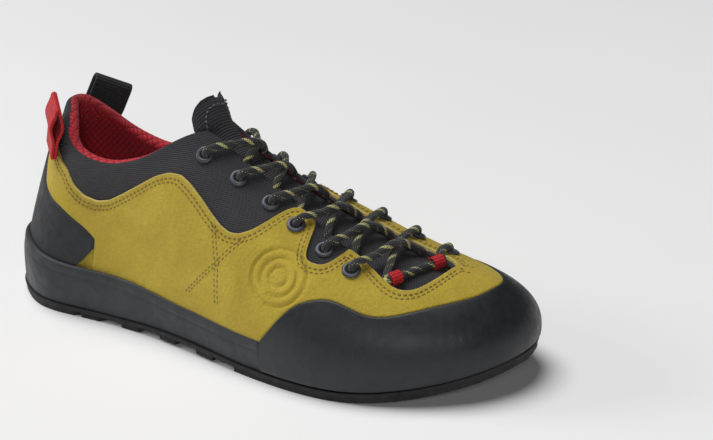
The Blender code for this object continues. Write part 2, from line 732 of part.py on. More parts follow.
def make_rand(look):
    """The rubber rand: over the toe from one side of the ball to the other."""
    shell = Shell()
    for side, rows, start in ((OUTER, RAND_TOP_OUTER, RAND_START_OUTER), (INNER, RAND_TOP_INNER, RAND_START_INNER)):
        rounds = np.append(start + np.array(RAND_FIRST_STEPS), np.linspace(start + 23.0, LAST.toe_round(side), 13))
        angles = LAST.angle_of_round(side, rounds)
        angles[-1] = math.pi
        place, tall = table(rows)
        place[-1] = rounds[-1]
        top = spline(place, tall)(rounds) * MM
        foot = np.full_like(top, RAND_FOOT)
        steps = np.array([0.0, 0.22, 0.44, 0.64, 0.82, 0.95, 1.0])
        up = foot[:, None] + (top - foot)[:, None] * steps
        out = np.array([0.9, 1.0, 1.0, 0.95, 0.88, 0.8, 0.5]) * RAND
        behind = np.array([2.6, 2.6, 2.5, 2.4, 2.2, 1.8, 1.5]) * GAP
        front = LAST.place(angles, up, out)
        back = LAST.place(angles, up, behind)
        shell.sheet(front)
        shell.sheet(back, flip=True)
        for pick in ((slice(None), 0), (slice(None), -1), (0, slice(None))):
            shell.sheet(np.stack([front[pick], back[pick]]))
    return shell.build("toe_rand", look)


def counter_shell(grow=0.0):
    """The heel counter's form, or that form grown on all sides to cut with."""
    place, low, tall = table(COUNTER)
    rounds = np.array(COUNTER_PLACES, float)
    base = np.interp(rounds, place, low) * MM - grow
    top = np.interp(rounds, place, tall) * MM + grow
    if grow:
        base = np.where(rounds < COUNTER_NOSE, base - 12 * MM, base)
    rounds[-1] += grow / MM
    steps = np.array([0.0, 0.35, 0.7, 0.94, 1.0])
    up = base[:, None] + (top - base)[:, None] * steps
    out = COUNTER_OUT * np.array([1.0, 1.0, 1.0, 0.94, 0.7]) + (3 * MM if grow else 0.0)
    behind = GAP * np.array([1.7, 1.7, 1.7, 1.6, 1.5]) - (2 * MM if grow else 0.0)
    shell = Shell()
    for side in (OUTER, INNER):
        angles = LAST.angle_of_round(side, rounds)
        front = LAST.place(angles, up, out)
        back = LAST.place(angles, up, behind)
        shell.sheet(front)
        shell.sheet(back, flip=True)
        for pick in ((slice(None), 0), (slice(None), -1), (-1, slice(None))):
            shell.sheet(np.stack([front[pick], back[pick]]))
    return shell


def make_suede(look):
    """The suede overlay, from behind the lip and the rand's edge up to its own border and the throat."""
    shell = Shell()
    lip_rounds, lip_up, _ = table(LIP)
    for side in (OUTER, INNER):
        place, tall = table(SUEDE_TOP_OUTER if side == OUTER else SUEDE_TOP_INNER)
        rand_place, rand_tall = table(RAND_TOP_OUTER if side == OUTER else RAND_TOP_INNER)
        start = RAND_START_OUTER if side == OUTER else RAND_START_INNER
        toe = LAST.toe_round(side)
        rand_place[-1] = toe
        border = [mm for mm in place if not start - 6 < mm < start + 3.9]
        border += [start - 4.0, start - 1.0, start - 0.4, start + 4.0]
        front_angles = LAST.angle_of_share(side, np.array(SUEDE_THROAT))
        front_angles = front_angles[LAST.round_of(side, front_angles) / MM > max(place[-1] + 2.0, start + 6.0)]
        angles = np.concatenate([LAST.angle_of_round(side, np.array(sorted(border))), front_angles])
        angles[0] = 0.0 if side == OUTER else 2.0 * math.pi
        rounds = LAST.round_of(side, angles) / MM
        share = LAST.share_of(angles)
        tops = LAST.top(angles)
        _, outer, inner = table(THROAT)
        down = np.interp(share, table(THROAT)[0], outer if side == OUTER else inner) * MM
        edge = np.where(share > THROAT_FRONT - 0.004, tops, tops - down - SUEDE_MARGIN)
        upper = np.where(rounds <= place[-1], np.minimum(np.interp(rounds, place, tall) * MM, edge), edge)
        slope = np.gradient(spline(rand_place, rand_tall)(rounds), rounds)
        slope[-1] = 0.0
        over_rand = spline(rand_place, rand_tall)(rounds) * MM + 1.5 * GAP * np.sqrt(1.0 + slope**2)
        behind_lip = np.interp(rounds, lip_rounds, lip_up) * MM - SUEDE_TUCK
        lower = np.where(rounds < start - 0.5, behind_lip, over_rand)
        steps = np.array([0.0, 0.25, 0.5, 0.75, 0.95, 1.0])
        up = lower[:, None] + (upper - lower)[:, None] * steps
        front = LAST.place(angles, up, SUEDE_OUT * np.array([0.85, 1.0, 1.0, 1.0, 1.0, 0.85]))
        back = LAST.place(angles, up, SUEDE_BEHIND)
        shell.sheet(front)
        shell.sheet(back, flip=True)
        shell.sheet(np.stack([front[:, 0], back[:, 0]]))
        open_above = np.nonzero(share <= THROAT_FRONT + 0.001)[0]
        shell.sheet(np.stack([front[open_above, -1], back[open_above, -1]]))
    return shell.build("suede_overlay", look)


def make_tongue(look):
    """The padded tongue, under the flaps of the throat and rising clear above them."""
    share, outer, inner, lift = table(TONGUE)
    across = np.linspace(-1.0, 1.0, 11)
    front, back = [], []
    for s, wide_outer, wide_inner, lifted in zip(share, outer, inner, lift):
        front_row, back_row = [], []
        for part in across:
            side = OUTER if part < 0 else INNER
            wide = (wide_outer if part < 0 else wide_inner) * abs(part) * MM
            flap = smooth_step((s - 0.352) / 0.013)
            under_flap = max(0.0, 1.0 - (wide / TONGUE_LIFT_REACH[side]) ** 2)
            in_the_open = 1.0 - TONGUE_CURL * (wide / TONGUE_CURL_REACH) ** 2
            rise = lifted * MM * (under_flap * flap + in_the_open * (1.0 - flap))
            thick = TONGUE_EDGE + (TONGUE_THICK - TONGUE_EDGE) * (1.0 - part**4)
            end = min(1.0, 0.35 + 20.0 * (s - TONGUE[-1][0]), 0.35 + 9.0 * (1.0 - s))
            front_row.append(LAST.spot(side, s, wide, rise - TONGUE_DROP)[0])
            back_row.append(LAST.spot(side, s, wide, rise - TONGUE_DROP - thick * end)[0])
        front.append(front_row)
        back.append(back_row)
    shell = Shell()
    shell.slab(np.array(front), np.array(back))
    return shell.build("tongue", look)


def frame_at(normal, along):
    """Axes for a piece that stands on the surface: along it, across it and out of it."""
    out = normal / np.linalg.norm(normal)
    along = along - out * np.dot(along, out)
    along /= np.linalg.norm(along)
    return along, np.cross(out, along), out


def make_eyelet(name, side, share, from_ridge, stand, look):
    """A flanged ring: a flange that stands on the surface and a barrel down into the wall."""
    centre, normal = LAST.spot(side, share, from_ridge)
    ahead, _ = LAST.spot(side, share + 0.01, from_ridge)
    along, across, out = frame_at(normal, ahead - centre)
    profile = [
        (EYELET_HOLE, -EYELET_SINK),
        (EYELET_BARREL, -EYELET_SINK),
        (EYELET_BARREL, stand),
        (EYELET_RING, stand),
        (0.5 * (EYELET_RING + EYELET_HOLE), stand + EYELET_RISE),
        (EYELET_HOLE, stand + 0.4 * EYELET_RISE),
    ]
    rings = []
    for turn in 2.0 * math.pi * (np.arange(EYELET_SIDES + 1) % EYELET_SIDES + 0.5) / EYELET_SIDES:
        outward = math.cos(turn) * along + math.sin(turn) * across
        rings.append([centre + radius * outward + rise * out for radius, rise in [*profile, profile[0]]])
    shell = Shell()
    shell.sheet(np.array(rings))
    return shell.build(name, look)


def eyelet_cutter(name, places):
    """One hidden helper that holds a round peg for each eyelet's hole."""
    form = bmesh.new()
    for side, share, from_ridge in places:
        centre, normal = LAST.spot(side, share, from_ridge)
        ahead, _ = LAST.spot(side, share + 0.01, from_ridge)
        along, across, out = frame_at(normal, ahead - centre)
        rings = []
        for rise in (-6.0 * MM, 4.0 * MM):
            ring = []
            for step in range(10):
                turn = 2.0 * math.pi * (step + 0.5) / 10
                outward = math.cos(turn) * along + math.sin(turn) * across
                ring.append(form.verts.new(centre + (EYELET_BARREL + 1.5 * GAP) * outward + rise * out))
            rings.append(ring)
        form.faces.new(rings[0][::-1])
        form.faces.new(rings[1])
        for i in range(10):
            j = (i + 1) % 10
            form.faces.new((rings[0][i], rings[0][j], rings[1][j], rings[1][i]))
    face_outward(form)
    data = bpy.data.meshes.new(name)
    form.to_mesh(data)
    form.free()
    cutter = bpy.data.objects.new(name, data)
    bpy.context.collection.objects.link(cutter)
    return cutter


def tube(points, radius, sides=5):
    """A closed round bar along the points, as a bmesh."""
    points = np.array(points)
    form = bmesh.new()
    rings = []
    for i, point in enumerate(points):
        ahead = points[min(i + 1, len(points) - 1)] - points[max(i - 1, 0)]
        ahead /= np.linalg.norm(ahead)
        side = np.cross(ahead, (0.0, 0.0, 1.0))
        side /= np.linalg.norm(side)
        over = np.cross(side, ahead)
        ring = []
        for step in range(sides):
            turn = 2.0 * math.pi * (step + 0.5) / sides
            ring.append(form.verts.new(point + radius * (math.cos(turn) * side + math.sin(turn) * over)))
        rings.append(ring)
    form.faces.new(rings[0][::-1])
    form.faces.new(rings[-1])
    for low, high in zip(rings[:-1], rings[1:]):
        for i in range(sides):
            j = (i + 1) % sides
            form.faces.new((low[i], low[j], high[j], high[i]))
    face_outward(form)
    return form


def tube_object(name, points, look, radius=LACE):
    form = tube(points, radius)
    data = bpy.data.meshes.new(name)
    form.to_mesh(data)
    form.free()
    data.shade_smooth()
    data.materials.append(look)
    item = bpy.data.objects.new(name, data)
    bpy.context.collection.objects.link(item)
    return item


def lace_run(start, end, hump, steps=6):
    """Points over the last from one eyelet's side to the other's, by share and distance from the ridge."""
    points = []
    for part in np.linspace(0.0, 1.0, steps):
        share = start[0] + (end[0] - start[0]) * part
        across = start[1] + (end[1] - start[1]) * part
        side = OUTER if across < 0 else INNER
        rise = LACE_RIDE + hump * math.sin(math.pi * part)
        points.append(LAST.spot(side, share, abs(across), rise)[0])
    return points


def make_lace_crossings(look):
    """Each crossing is one solid: two bars that meet over the tongue."""
    span = LENGTH - RIDGE_BACK - RIDGE_FRONT
    spread = LACE_SPREAD / span
    outer = [*EYELETS[OUTER], LAST_LACE_TURN]
    inner = EYELETS[INNER]
    for k in range(6):
        ends = {}
        for key, (share, down, _) in (("o0", outer[k]), ("o1", outer[k + 1]), ("i0", inner[k]), ("i1", inner[k + 1])):
            near = share + spread if key.endswith("0") else share - spread
            sign = -1.0 if key.startswith("o") else 1.0
            ends[key] = (near, sign * (down * MM - LACE_END))
        first = tube_object(f"lace_cross_{k + 1}", lace_run(ends["o0"], ends["i1"], LACE_OVER), look)
        second = tube_object(f"lace_bar_helper_{k + 1}", lace_run(ends["i0"], ends["o1"], 0.0), look)
        add_boolean(first, "UNION", second)


def strap_loop(name, base, up_dir, width_dir, size, joined, look):
    """Webbing folded over on itself: a tall closed band whose two legs are joined at the foot."""
    height, width, gap, thick = size
    width_dir = width_dir / np.linalg.norm(width_dir)
    up_dir = up_dir - width_dir * np.dot(width_dir, up_dir)
    up_dir /= np.linalg.norm(up_dir)
    depth_dir = np.cross(width_dir, up_dir)
    foot = joined * height
    half = 0.5 * gap
    hole = [(0.0, foot), (half, foot + 0.32 * (height - foot)), (half, height - thick - half)]
    hole += [(half * math.cos(t), height - thick - half + half * math.sin(t)) for t in (math.pi / 4, math.pi / 2)]
    hole += [(-x, z) for x, z in hole[-2:0:-1]]
    rim = [(0.75 * thick, 0.0), (thick, foot), (half + thick, foot + 0.32 * (height - foot))]
    rim += [(half + thick, height - thick - half)]
    top = height - thick - half
    rim += [((half + thick) * math.cos(t), top + (half + thick) * math.sin(t)) for t in (math.pi / 4, math.pi / 2)]
    rim += [(-x, z) for x, z in rim[-2::-1]]
    form = bmesh.new()

    def ring(outline, across):
        made = []
        for x, z in outline:
            made.append(form.verts.new(base + depth_dir * x + up_dir * z + width_dir * across))
        return made

    edges = []
    for across in (-0.5 * width, 0.5 * width):
        edges.append((ring(rim, across), ring(hole, across)))
    (rim_a, hole_a), (rim_b, hole_b) = edges
    for first, second in ((rim_a, rim_b), (hole_a, hole_b)):
        for i in range(len(first)):
            j = (i + 1) % len(first)
            form.faces.new((first[i], first[j], second[j], second[i]))
    for outline, opening in edges:
        loops = [form.edges.get((a[i], a[(i + 1) % len(a)])) for a in (outline, opening) for i in range(len(a))]
        bmesh.ops.triangle_fill(form, use_beauty=True, edges=loops)
    face_outward(form)
    data = bpy.data.meshes.new(name)
    form.to_mesh(data)
    form.free()
    data.materials.append(look)
    item = bpy.data.objects.new(name, data)
    bpy.context.collection.objects.link(item)
    return item


def make_tabs(look, lace_look):
    """Two small webbing loops at the front of the throat, and the bar of lace that runs through both."""
    spots = {}
    for side, (share, down) in TABS.items():
        spots[side] = LAST.spot(side, share, down * MM, TAB_BASE)
    across = spots[INNER][0] - spots[OUTER][0]
    across /= np.linalg.norm(across)
    rise = spots[OUTER][1] + spots[INNER][1]
    rise -= across * np.dot(rise, across)
    rise /= np.linalg.norm(rise)
    eye = TAB_HEIGHT - TAB_THICK - 0.5 * TAB_GAP
    for side, name in ((OUTER, "lateral"), (INNER, "medial")):
        size = (TAB_HEIGHT, TAB_WIDTH, TAB_GAP, TAB_THICK)
        strap_loop(f"lace_tab_{name}", spots[side][0], rise, across, size, 0.12, look)
    ends = (spots[OUTER][0] - across * BAR_PAST_TAB, spots[INNER][0] + across * BAR_PAST_TAB)
    points = [ends[0] + (ends[1] - ends[0]) * part + rise * eye for part in np.linspace(0.0, 1.0, 4)]
    tube_object("lace_bar", points, lace_look)


def make_pull_loops(looks):
    """The tall webbing loops on the two sides of the heel, sewn on outside the collar."""
    for side, name in ((OUTER, "lateral"), (INNER, "medial")):
        place, foot, height, lean, fall = LOOPS[side]
        angle = LAST.angle_of_round(side, np.array([place - 7.0, place, place + 7.0]))
        low = LAST.place(angle, np.full((3, 1), foot * MM), LOOP_BASE)[1, 0]
        high = LAST.place(angle, np.full((3, 1), (foot + 20) * MM), LOOP_BASE + lean * MM)[1, 0]
        edge = LAST.place(angle, (foot + fall * np.array([[7.0], [0.0], [-7.0]])) * MM, LOOP_BASE)[:, 0]
        size = (height * MM, LOOP_WIDTH, LOOP_GAP, LOOP_THICK)
        strap_loop(f"pull_loop_{name}", low, high - low, edge[2] - edge[0], size, 0.3, looks[side])


def settle(items):
    """Moves everything so that the shoe's bounding box is centred over the origin."""
    corners = [item.matrix_world @ Vector(corner) for item in items if not item.hide_render for corner in item.bound_box]
    middle = [0.5 * (min(c[axis] for c in corners) + max(c[axis] for c in corners)) for axis in (0, 1)]
    for item in items:
        item.location = (-middle[0], -middle[1], 0.0)


def add_boolean(item, operation, other):
    change = item.modifiers.new(operation.lower(), "BOOLEAN")
    change.operation = operation
    change.solver = "EXACT"
    change.object = other
    other.hide_render = True
    other.display_type = "WIRE"


def main():
    for item in list(bpy.data.objects):
        bpy.data.objects.remove(item)
    textile = material("textile", 0.9)
    counter = material("counter", 0.85)
    eyelet = material("eyelet", 0.4)
    lace = material("lace", 0.8)
    red, black = material("red_webbing", 0.8), material("black_webbing", 0.8)
    make_outsole(material("outsole", 0.75))
    make_midsole(material("midsole", 0.7))
    upper = make_upper(textile)
    suede = make_suede(material("suede", 0.9))
    make_rand(material("rand", 0.45))
    counter_shell().build("heel_counter", counter)
    make_tongue(textile)
    make_insole(material("insole", 0.9))
    places, suede_places = [], []
    for side, name in ((OUTER, "lateral"), (INNER, "medial")):
        for i, (share, down, on_suede) in enumerate(EYELETS[side]):
            stand = 1.3 * GAP + (SUEDE_OUT if on_suede else 0.0)
            make_eyelet(f"eyelet_{name}_{i + 1}", side, share, down * MM, stand, eyelet)
            places.append((side, share, down * MM))
            if on_suede:
                suede_places.append((side, share, down * MM))
    add_boolean(upper, "DIFFERENCE", eyelet_cutter("upper_holes", places))
    add_boolean(suede, "DIFFERENCE", counter_shell(grow=1.4 * GAP).build("counter_room", counter))
    add_boolean(suede, "DIFFERENCE", eyelet_cutter("suede_holes", suede_places))
    make_lace_crossings(lace)
    make_tabs(red, lace)
    make_pull_loops({OUTER: red, INNER: black})
    bpy.context.view_layer.update()
    settle(list(bpy.data.objects))


main()
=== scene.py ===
"""Looks of the approach shoe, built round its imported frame.

Metres, in the frame's own axes: the toe points to +X, the inner side of the foot is +Y, up is +Z.
The soft pieces follow one surface, the last, as the solids do. A place on it is given by the side,
the distance round the sole's edge from the heel, how far up the surface it lies from the sole's
edge, and how far it stands out. Share is the share of the length from the heel.
"""

import json
import math

import bmesh
import bpy
import numpy as np
from mathutils import Matrix, Vector

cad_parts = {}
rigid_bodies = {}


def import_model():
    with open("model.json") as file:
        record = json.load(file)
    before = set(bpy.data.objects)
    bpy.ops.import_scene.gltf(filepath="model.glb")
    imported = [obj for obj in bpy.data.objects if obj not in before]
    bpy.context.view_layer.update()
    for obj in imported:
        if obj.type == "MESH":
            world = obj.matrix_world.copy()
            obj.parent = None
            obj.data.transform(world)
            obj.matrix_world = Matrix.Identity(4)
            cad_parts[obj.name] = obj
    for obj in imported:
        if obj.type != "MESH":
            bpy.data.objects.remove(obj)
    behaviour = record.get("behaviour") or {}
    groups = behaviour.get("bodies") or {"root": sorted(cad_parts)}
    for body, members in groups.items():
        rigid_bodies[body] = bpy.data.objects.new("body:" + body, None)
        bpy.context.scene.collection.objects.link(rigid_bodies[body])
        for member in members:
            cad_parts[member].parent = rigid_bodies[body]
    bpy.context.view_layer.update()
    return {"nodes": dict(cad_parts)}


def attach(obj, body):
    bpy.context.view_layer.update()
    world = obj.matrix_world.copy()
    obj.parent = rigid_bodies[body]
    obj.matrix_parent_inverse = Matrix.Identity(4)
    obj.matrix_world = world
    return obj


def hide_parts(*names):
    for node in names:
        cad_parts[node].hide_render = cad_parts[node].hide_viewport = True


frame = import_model()

MM = 0.001
LENGTH, BALL_WIDTH = 286 * MM, 104 * MM
GAP = 0.3 * MM
SHIFT = np.array([-0.989, 0.700, 0.0]) * MM
OUTER, INNER = "outer", "inner"

# The last: the sole's edge in plan, and the ridge with the powers of each column's curve.
OUTLINE = [
    (0.00, -0.005, -0.005), (0.02, -0.165, 0.165), (0.06, -0.262, 0.268), (0.12, -0.343, 0.325),
    (0.22, -0.348, 0.330), (0.34, -0.352, 0.285), (0.46, -0.402, 0.265), (0.56, -0.452, 0.320),
    (0.65, -0.486, 0.400), (0.74, -0.488, 0.460), (0.82, -0.434, 0.480), (0.90, -0.314, 0.450),
    (0.96, -0.165, 0.375), (0.99, -0.020, 0.270), (1.00, 0.120, 0.120),
]
RIDGE_BACK, RIDGE_FRONT = 50 * MM, 28 * MM
SECTIONS = [
    (0.00, 150.0, 0.0, 1.14, 1.08, 0.0), (0.08, 147.0, 0.0, 1.25, 1.32, 0.0), (0.20, 132.0, 0.0, 1.50, 1.80, 0.0),
    (0.34, 110.0, 1.0, 1.80, 2.20, 0.5), (0.45, 95.0, 1.0, 2.10, 2.50, 1.0), (0.60, 78.0, 1.0, 2.10, 2.40, 2.0),
    (0.72, 68.0, 1.0, 2.10, 2.40, 2.5), (0.84, 59.5, 1.0, 2.10, 2.40, 2.5), (0.93, 54.7, 4.0, 2.00, 2.40, 2.0),
    (1.00, 51.8, 7.0, 1.90, 2.40, 1.5),
]
OUTSOLE = 4.8 * MM
ARCH_LIFT, ARCH_FROM, ARCH_TO, ARCH_RAMP = 1.2 * MM, 0.28, 0.60, 0.14
TOE_SPRING, TOE_SPRING_FROM = 12.5 * MM, 0.74
HEEL_ROLL, HEEL_ROLL_TO = 2.0 * MM, 0.035
MIDSOLE_FLOOR = [(0.0, 16.0), (0.3, 14.5), (0.5, 10.5), (0.7, 6.5), (1.0, 5.5)]
COLUMN_ROWS, ARC_STEPS = 181, 3601

# Borders of the pieces. Unless said otherwise: distance round in mm, distance up in mm.
LIP = [
    (0, 28.0, 3.9), (15, 28.0, 4.1), (30, 27.5, 4.5), (50, 25.8, 4.5), (65, 24.0, 4.4), (95, 23.4, 4.0),
    (112, 22.2, 3.6), (137, 18.8, 3.0), (160, 17.6, 2.7), (200, 16.6, 2.4),
]
# The lip's rounding and fall over its top, where it ends, and how far the cup lies behind the rand.
LIP_ROUND, LIP_FALL, LIP_BEHIND, BEHIND_RAND = 1.5 * MM, 0.9 * MM, 1.1 * MM, 0.35 * MM
COLLAR = [
    (0, 101.0, 101.0), (20, 99.0, 100.5), (40, 91.0, 91.0), (60, 82.0, 78.5), (75, 78.0, 73.0), (88, 77.6, 71.5),
    (98, 80.2, 74.0), (107, 85.0, 79.5), (115, 91.5, 86.5), (122, 99.0, 95.5), (130, 110.0, 107.5),
    (145, 134.0, 132.0),
]
COLLAR_CORNER = 2.2 * MM
THROAT_FRONT = 0.968
THROAT = [
    (0.25, 14.0, 9.0), (0.40, 13.2, 8.5), (0.50, 12.2, 8.0), (0.60, 12.2, 8.0), (0.66, 15.5, 8.2),
    (0.72, 19.8, 8.6), (0.77, 20.6, 8.8), (0.80, 22.8, 9.0), (0.83, 27.2, 9.0), (0.855, 28.8, 9.0),
    (0.885, 24.4, 8.6), (0.912, 16.4, 7.6), (0.945, 6.4, 4.6), (THROAT_FRONT, 0.0, 0.0),
]
# Distance round in mm up to which the lip of the opening belongs to the collar.
COLLAR_END = 121.0
WALL, COLLAR_PAD, PAD_PUFF, PAD_DEPTH = 2.6 * MM, 4.2 * MM, 1.0 * MM, 28 * MM
PAD_FADE_FROM, PAD_FADE_TO = 96 * MM, 114 * MM
RAND_START = {OUTER: 199.6, INNER: 188.0}
RAND_TOP = {
    OUTER: [
        (199.6, 16.5), (203.5, 21.5), (210, 29.8), (217, 37.0), (223, 40.2), (229, 42.2), (235, 42.3), (242, 40.4),
        (249, 37.7), (257, 35.8), (264, 35.6), (274, 36.2), (285, 36.6), (296, 36.2), (309, 35.0), (323, 34.4),
        (336, 34.3),
    ],
    INNER: [
        (188, 15.5), (193, 20.5), (200, 28.5), (208, 34.0), (218, 36.8), (232, 36.6), (248, 36.6), (262, 38.6),
        (274, 41.0), (286, 41.8), (298, 40.6), (308, 37.6), (318, 35.2), (328, 34.3),
    ],
}
RAND, RAND_FOOT, EDGE_FOOT = 2.4 * MM, 1.3 * MM, 0.5 * MM
COUNTER = [
    (0.0, 21.0, 86.0), (8.0, 21.0, 85.0), (13.0, 21.0, 79.0), (20.0, 21.0, 71.0), (28.0, 21.0, 65.0),
    (36.0, 21.0, 59.5), (50.0, 20.5, 55.4), (61.0, 20.5, 51.8), (72.0, 20.5, 46.9), (77.0, 24.4, 44.8),
    (81.0, 28.0, 42.8), (84.5, 31.6, 40.6), (86.8, 35.2, 38.6),
]
COUNTER_OUT, COUNTER_NOSE, COUNTER_END = 1.75 * MM, 86.8, 88.0
SUEDE_TOP = {
    OUTER: [
        (0, 92.0), (10, 90.6), (20, 86.5), (34, 80.5), (48, 76.8), (60, 71.6), (68, 64.4), (76, 60.2), (85, 58.8),
        (93, 60.6), (101, 65.4), (111, 72.0), (119, 77.4), (126, 80.2), (133, 80.4), (141, 77.0), (150, 71.8),
        (158, 66.6), (165, 62.6), (171, 60.8), (176, 61.4), (182, 65.2), (187, 71.6), (191, 79.0), (193.6, 83.2),
        (197, 84.8), (204, 82.8), (210.0, 79.6), (211.6, 75.6), (212.2, 64.0), (213.4, 60.2), (216.5, 58.2),
        (223, 57.8), (227, 60.2), (230.6, 65.2), (236, 76.0), (240, 90.0),
    ],
    INNER: [
        (0, 92.0), (10, 90.4), (20, 86.0), (34, 79.0), (48, 73.5), (60, 70.0), (72, 69.5), (84, 71.5), (96, 75.0),
        (108, 77.5), (118, 77.0), (130, 71.5), (142, 64.5), (154, 58.5), (163, 56.6), (171, 59.0), (180, 66.0),
        (187, 74.0), (190, 78.0), (196, 90.0),
    ],
}
SUEDE_OUT, SUEDE_TUCKED, SUEDE_TUCK, SUEDE_MARGIN = 1.6 * MM, 0.8 * MM, 5.0 * MM, 0.8 * MM

# The tongue: share, half widths to the outer and the inner side, and lift off the last, in mm.
TONGUE = [
    (1.000, 9.0, 8.0, 0.0), (0.960, 21.0, 13.0, 0.0), (0.910, 32.0, 16.0, 0.0), (0.860, 35.0, 18.0, 0.0),
    (0.800, 32.0, 19.0, 0.0), (0.720, 28.0, 19.0, 0.0), (0.600, 24.0, 20.0, 0.0), (0.500, 22.5, 20.0, 0.0),
    (0.430, 21.5, 20.5, 0.8), (0.410, 20.8, 20.6, 2.2), (0.395, 20.2, 20.4, 3.4), (0.380, 19.2, 19.8, 5.0),
    (0.367, 17.8, 18.6, 6.8), (0.352, 15.2, 16.0, 9.0), (0.341, 11.6, 12.6, 10.8), (0.334, 7.8, 8.8, 11.9),
    (0.329, 2.0, 2.6, 12.6),
]
TONGUE_THICK, TONGUE_EDGE, TONGUE_DROP = 5.0 * MM, 1.6 * MM, 3.8 * MM
NORMAL_REACH = 16.0 * MM
TONGUE_CURL, TONGUE_CURL_REACH, TONGUE_SWELL = 0.55, 20.0 * MM, 0.7 * MM
TONGUE_LIFT_REACH = {OUTER: 12.0 * MM, INNER: 7.5 * MM}

# Eyelets: share, distance down from the ridge in mm, and whether the suede lies under the ring.
EYELETS = {
    OUTER: [
        (0.419, 23.5, 0), (0.496, 21.6, 0), (0.570, 21.4, 0), (0.636, 24.7, 1), (0.706, 27.7, 0), (0.768, 31.0, 1),
    ],
    INNER: [
        (0.415, 21.0, 0), (0.492, 19.0, 0), (0.562, 18.3, 0), (0.648, 18.5, 1), (0.728, 19.0, 1), (0.808, 19.5, 1),
        (0.888, 18.0, 1),
    ],
}
EYELET_RING, EYELET_HOLE, EYELET_BARREL, EYELET_RISE = 4.5 * MM, 2.2 * MM, 2.9 * MM, 1.0 * MM
LACE = 1.85 * MM
TABS = {OUTER: (0.845, 23.0), INNER: (0.922, 1.6)}
TAB_HEIGHT, TAB_WIDTH, TAB_GAP, TAB_THICK, TAB_BASE = 7.6 * MM, 6.0 * MM, 4.6 * MM, 1.1 * MM, -4.6 * MM
LOOPS = {OUTER: (37.0, 77.5, 28.4, 4.4, 0.2), INNER: (29.8, 76.0, 30.2, 7.1, 0.39)}
LOOP_WIDTH, LOOP_GAP, LOOP_THICK, LOOP_BASE = 20.5 * MM, 4.4 * MM, 1.5 * MM, 3.3 * MM
TREAD_PERIOD, TREAD_STEPS, TREAD_DEPTH = 26.0, (11.0, 16.0, 21.0, 26.0), 2.4 * MM
TREAD_RINGS, WAIST_FROM, WAIST_TO = (0.0, 0.28, 0.37, 1.0), 0.20, 0.57

# Soft creases: side, from (round, up) to (round, up), width and depth in mm. Below zero is a ridge.
CREASES = [
    (OUTER, (206, 92), (222, 66), 3.4, 0.75), (OUTER, (212, 93), (231, 68), 3.0, -0.45),
    (OUTER, (220, 90), (236, 62), 3.2, 0.70), (OUTER, (238, 80), (252, 55), 3.6, 0.65),
    (OUTER, (246, 78), (262, 50), 3.2, -0.40), (OUTER, (258, 64), (276, 46), 4.0, 0.55),
    (OUTER, (150, 84), (170, 66), 5.0, 0.45), (OUTER, (128, 92), (150, 86), 4.0, 0.45),
    (OUTER, (62, 56), (96, 50), 7.0, 0.40), (OUTER, (186, 30), (205, 60), 6.0, 0.40),
    (INNER, (150, 84), (176, 52), 4.0, 0.60), (INNER, (196, 84), (214, 46), 3.6, 0.70),
    (INNER, (206, 82), (226, 46), 3.2, -0.40), (INNER, (228, 78), (246, 48), 4.0, 0.60),
    (INNER, (252, 74), (268, 50), 3.8, 0.55), (INNER, (70, 50), (100, 56), 7.0, 0.40),
]

# Stitch rows: how far inside the border and how far short of the toe they lie, in mm.
STITCH_INSETS, STITCHES_STOP = (2.3, 4.3), 14.0

# Sewn lines on the outer quarter, as (round, up): a line down and a line across it.
QUARTER_SEAMS = [
    [(160.5, 63.0), (168.0, 46.0), (171.0, 24.0)],
    [(178.5, 60.0), (168.0, 46.0), (150.0, 26.0)],
]
MOTIF_CENTRE, MOTIF_RADII = (204.5, 48.0), (4.5, 9.0, 13.5)

# The camera that the photograph's outlines gave, before the shoe was centred on its box.
PHOTO_WIDTH = 713
CAMERA_AZIMUTH, CAMERA_ELEVATION = math.radians(31.1665), math.radians(21.2487)
CAMERA_ROLL = math.radians(-0.2013)
CAMERA_DISTANCE, CAMERA_FOCAL_PIXELS, SENSOR_MM = 0.89626, 1670.387, 36.0
CAMERA_TARGET = np.array([0.006948, 0.085079, 0.030])
# Half the floor's width in metres.
FLOOR = 6.0


def table(rows):
    return np.array(rows, float).T


def smooth_step(value):
    held = np.clip(value, 0.0, 1.0)
    return held * held * (3.0 - 2.0 * held)


def spline(places, values, closed=False):
    """A function through the values: a natural cubic spline, or one that closes on itself."""
    places, values = np.asarray(places, float), np.asarray(values, float)
    steps = np.diff(places)
    count = len(places) - 1 if closed else len(places)
    matrix, right = np.zeros((count, count)), np.zeros(count)
    slopes = np.diff(values) / steps
    for i in range(count):
        if not closed and i in (0, count - 1):
            matrix[i, i] = 1.0
            continue
        matrix[i, (i - 1) % count] += steps[i - 1]
        matrix[i, i] += 2.0 * (steps[i - 1] + steps[i])
        matrix[i, (i + 1) % count] += steps[i]
        right[i] = 6.0 * (slopes[i] - slopes[i - 1])
    bends = np.linalg.solve(matrix, right)
    if closed:
        bends = np.append(bends, bends[0])

    def at(where):
        where = np.asarray(where, float)
        i = np.clip(np.searchsorted(places, where) - 1, 0, len(places) - 2)
        left, gone, step = places[i + 1] - where, where - places[i], steps[i]
        curve = (bends[i] * left**3 + bends[i + 1] * gone**3) / (6.0 * step)
        line = (values[i] / step - bends[i] * step / 6.0) * left
        return curve + line + (values[i + 1] / step - bends[i + 1] * step / 6.0) * gone

    return at


def rounded_line(places, values, radius=1.5):
    """A function along the straight line through the values with its corners rounded."""
    step = 0.1
    fine = np.arange(places[0] - 4 * radius, places[-1] + 4 * radius, step)
    reach = int(3 * radius / step)
    weights = np.exp(-0.5 * (np.arange(-reach, reach + 1) * step / radius) ** 2)
    padded = np.pad(np.interp(fine, places, values), reach, mode="edge")
    smooth = np.convolve(padded, weights / weights.sum(), mode="valid")
    return lambda where: np.interp(where, fine, smooth)


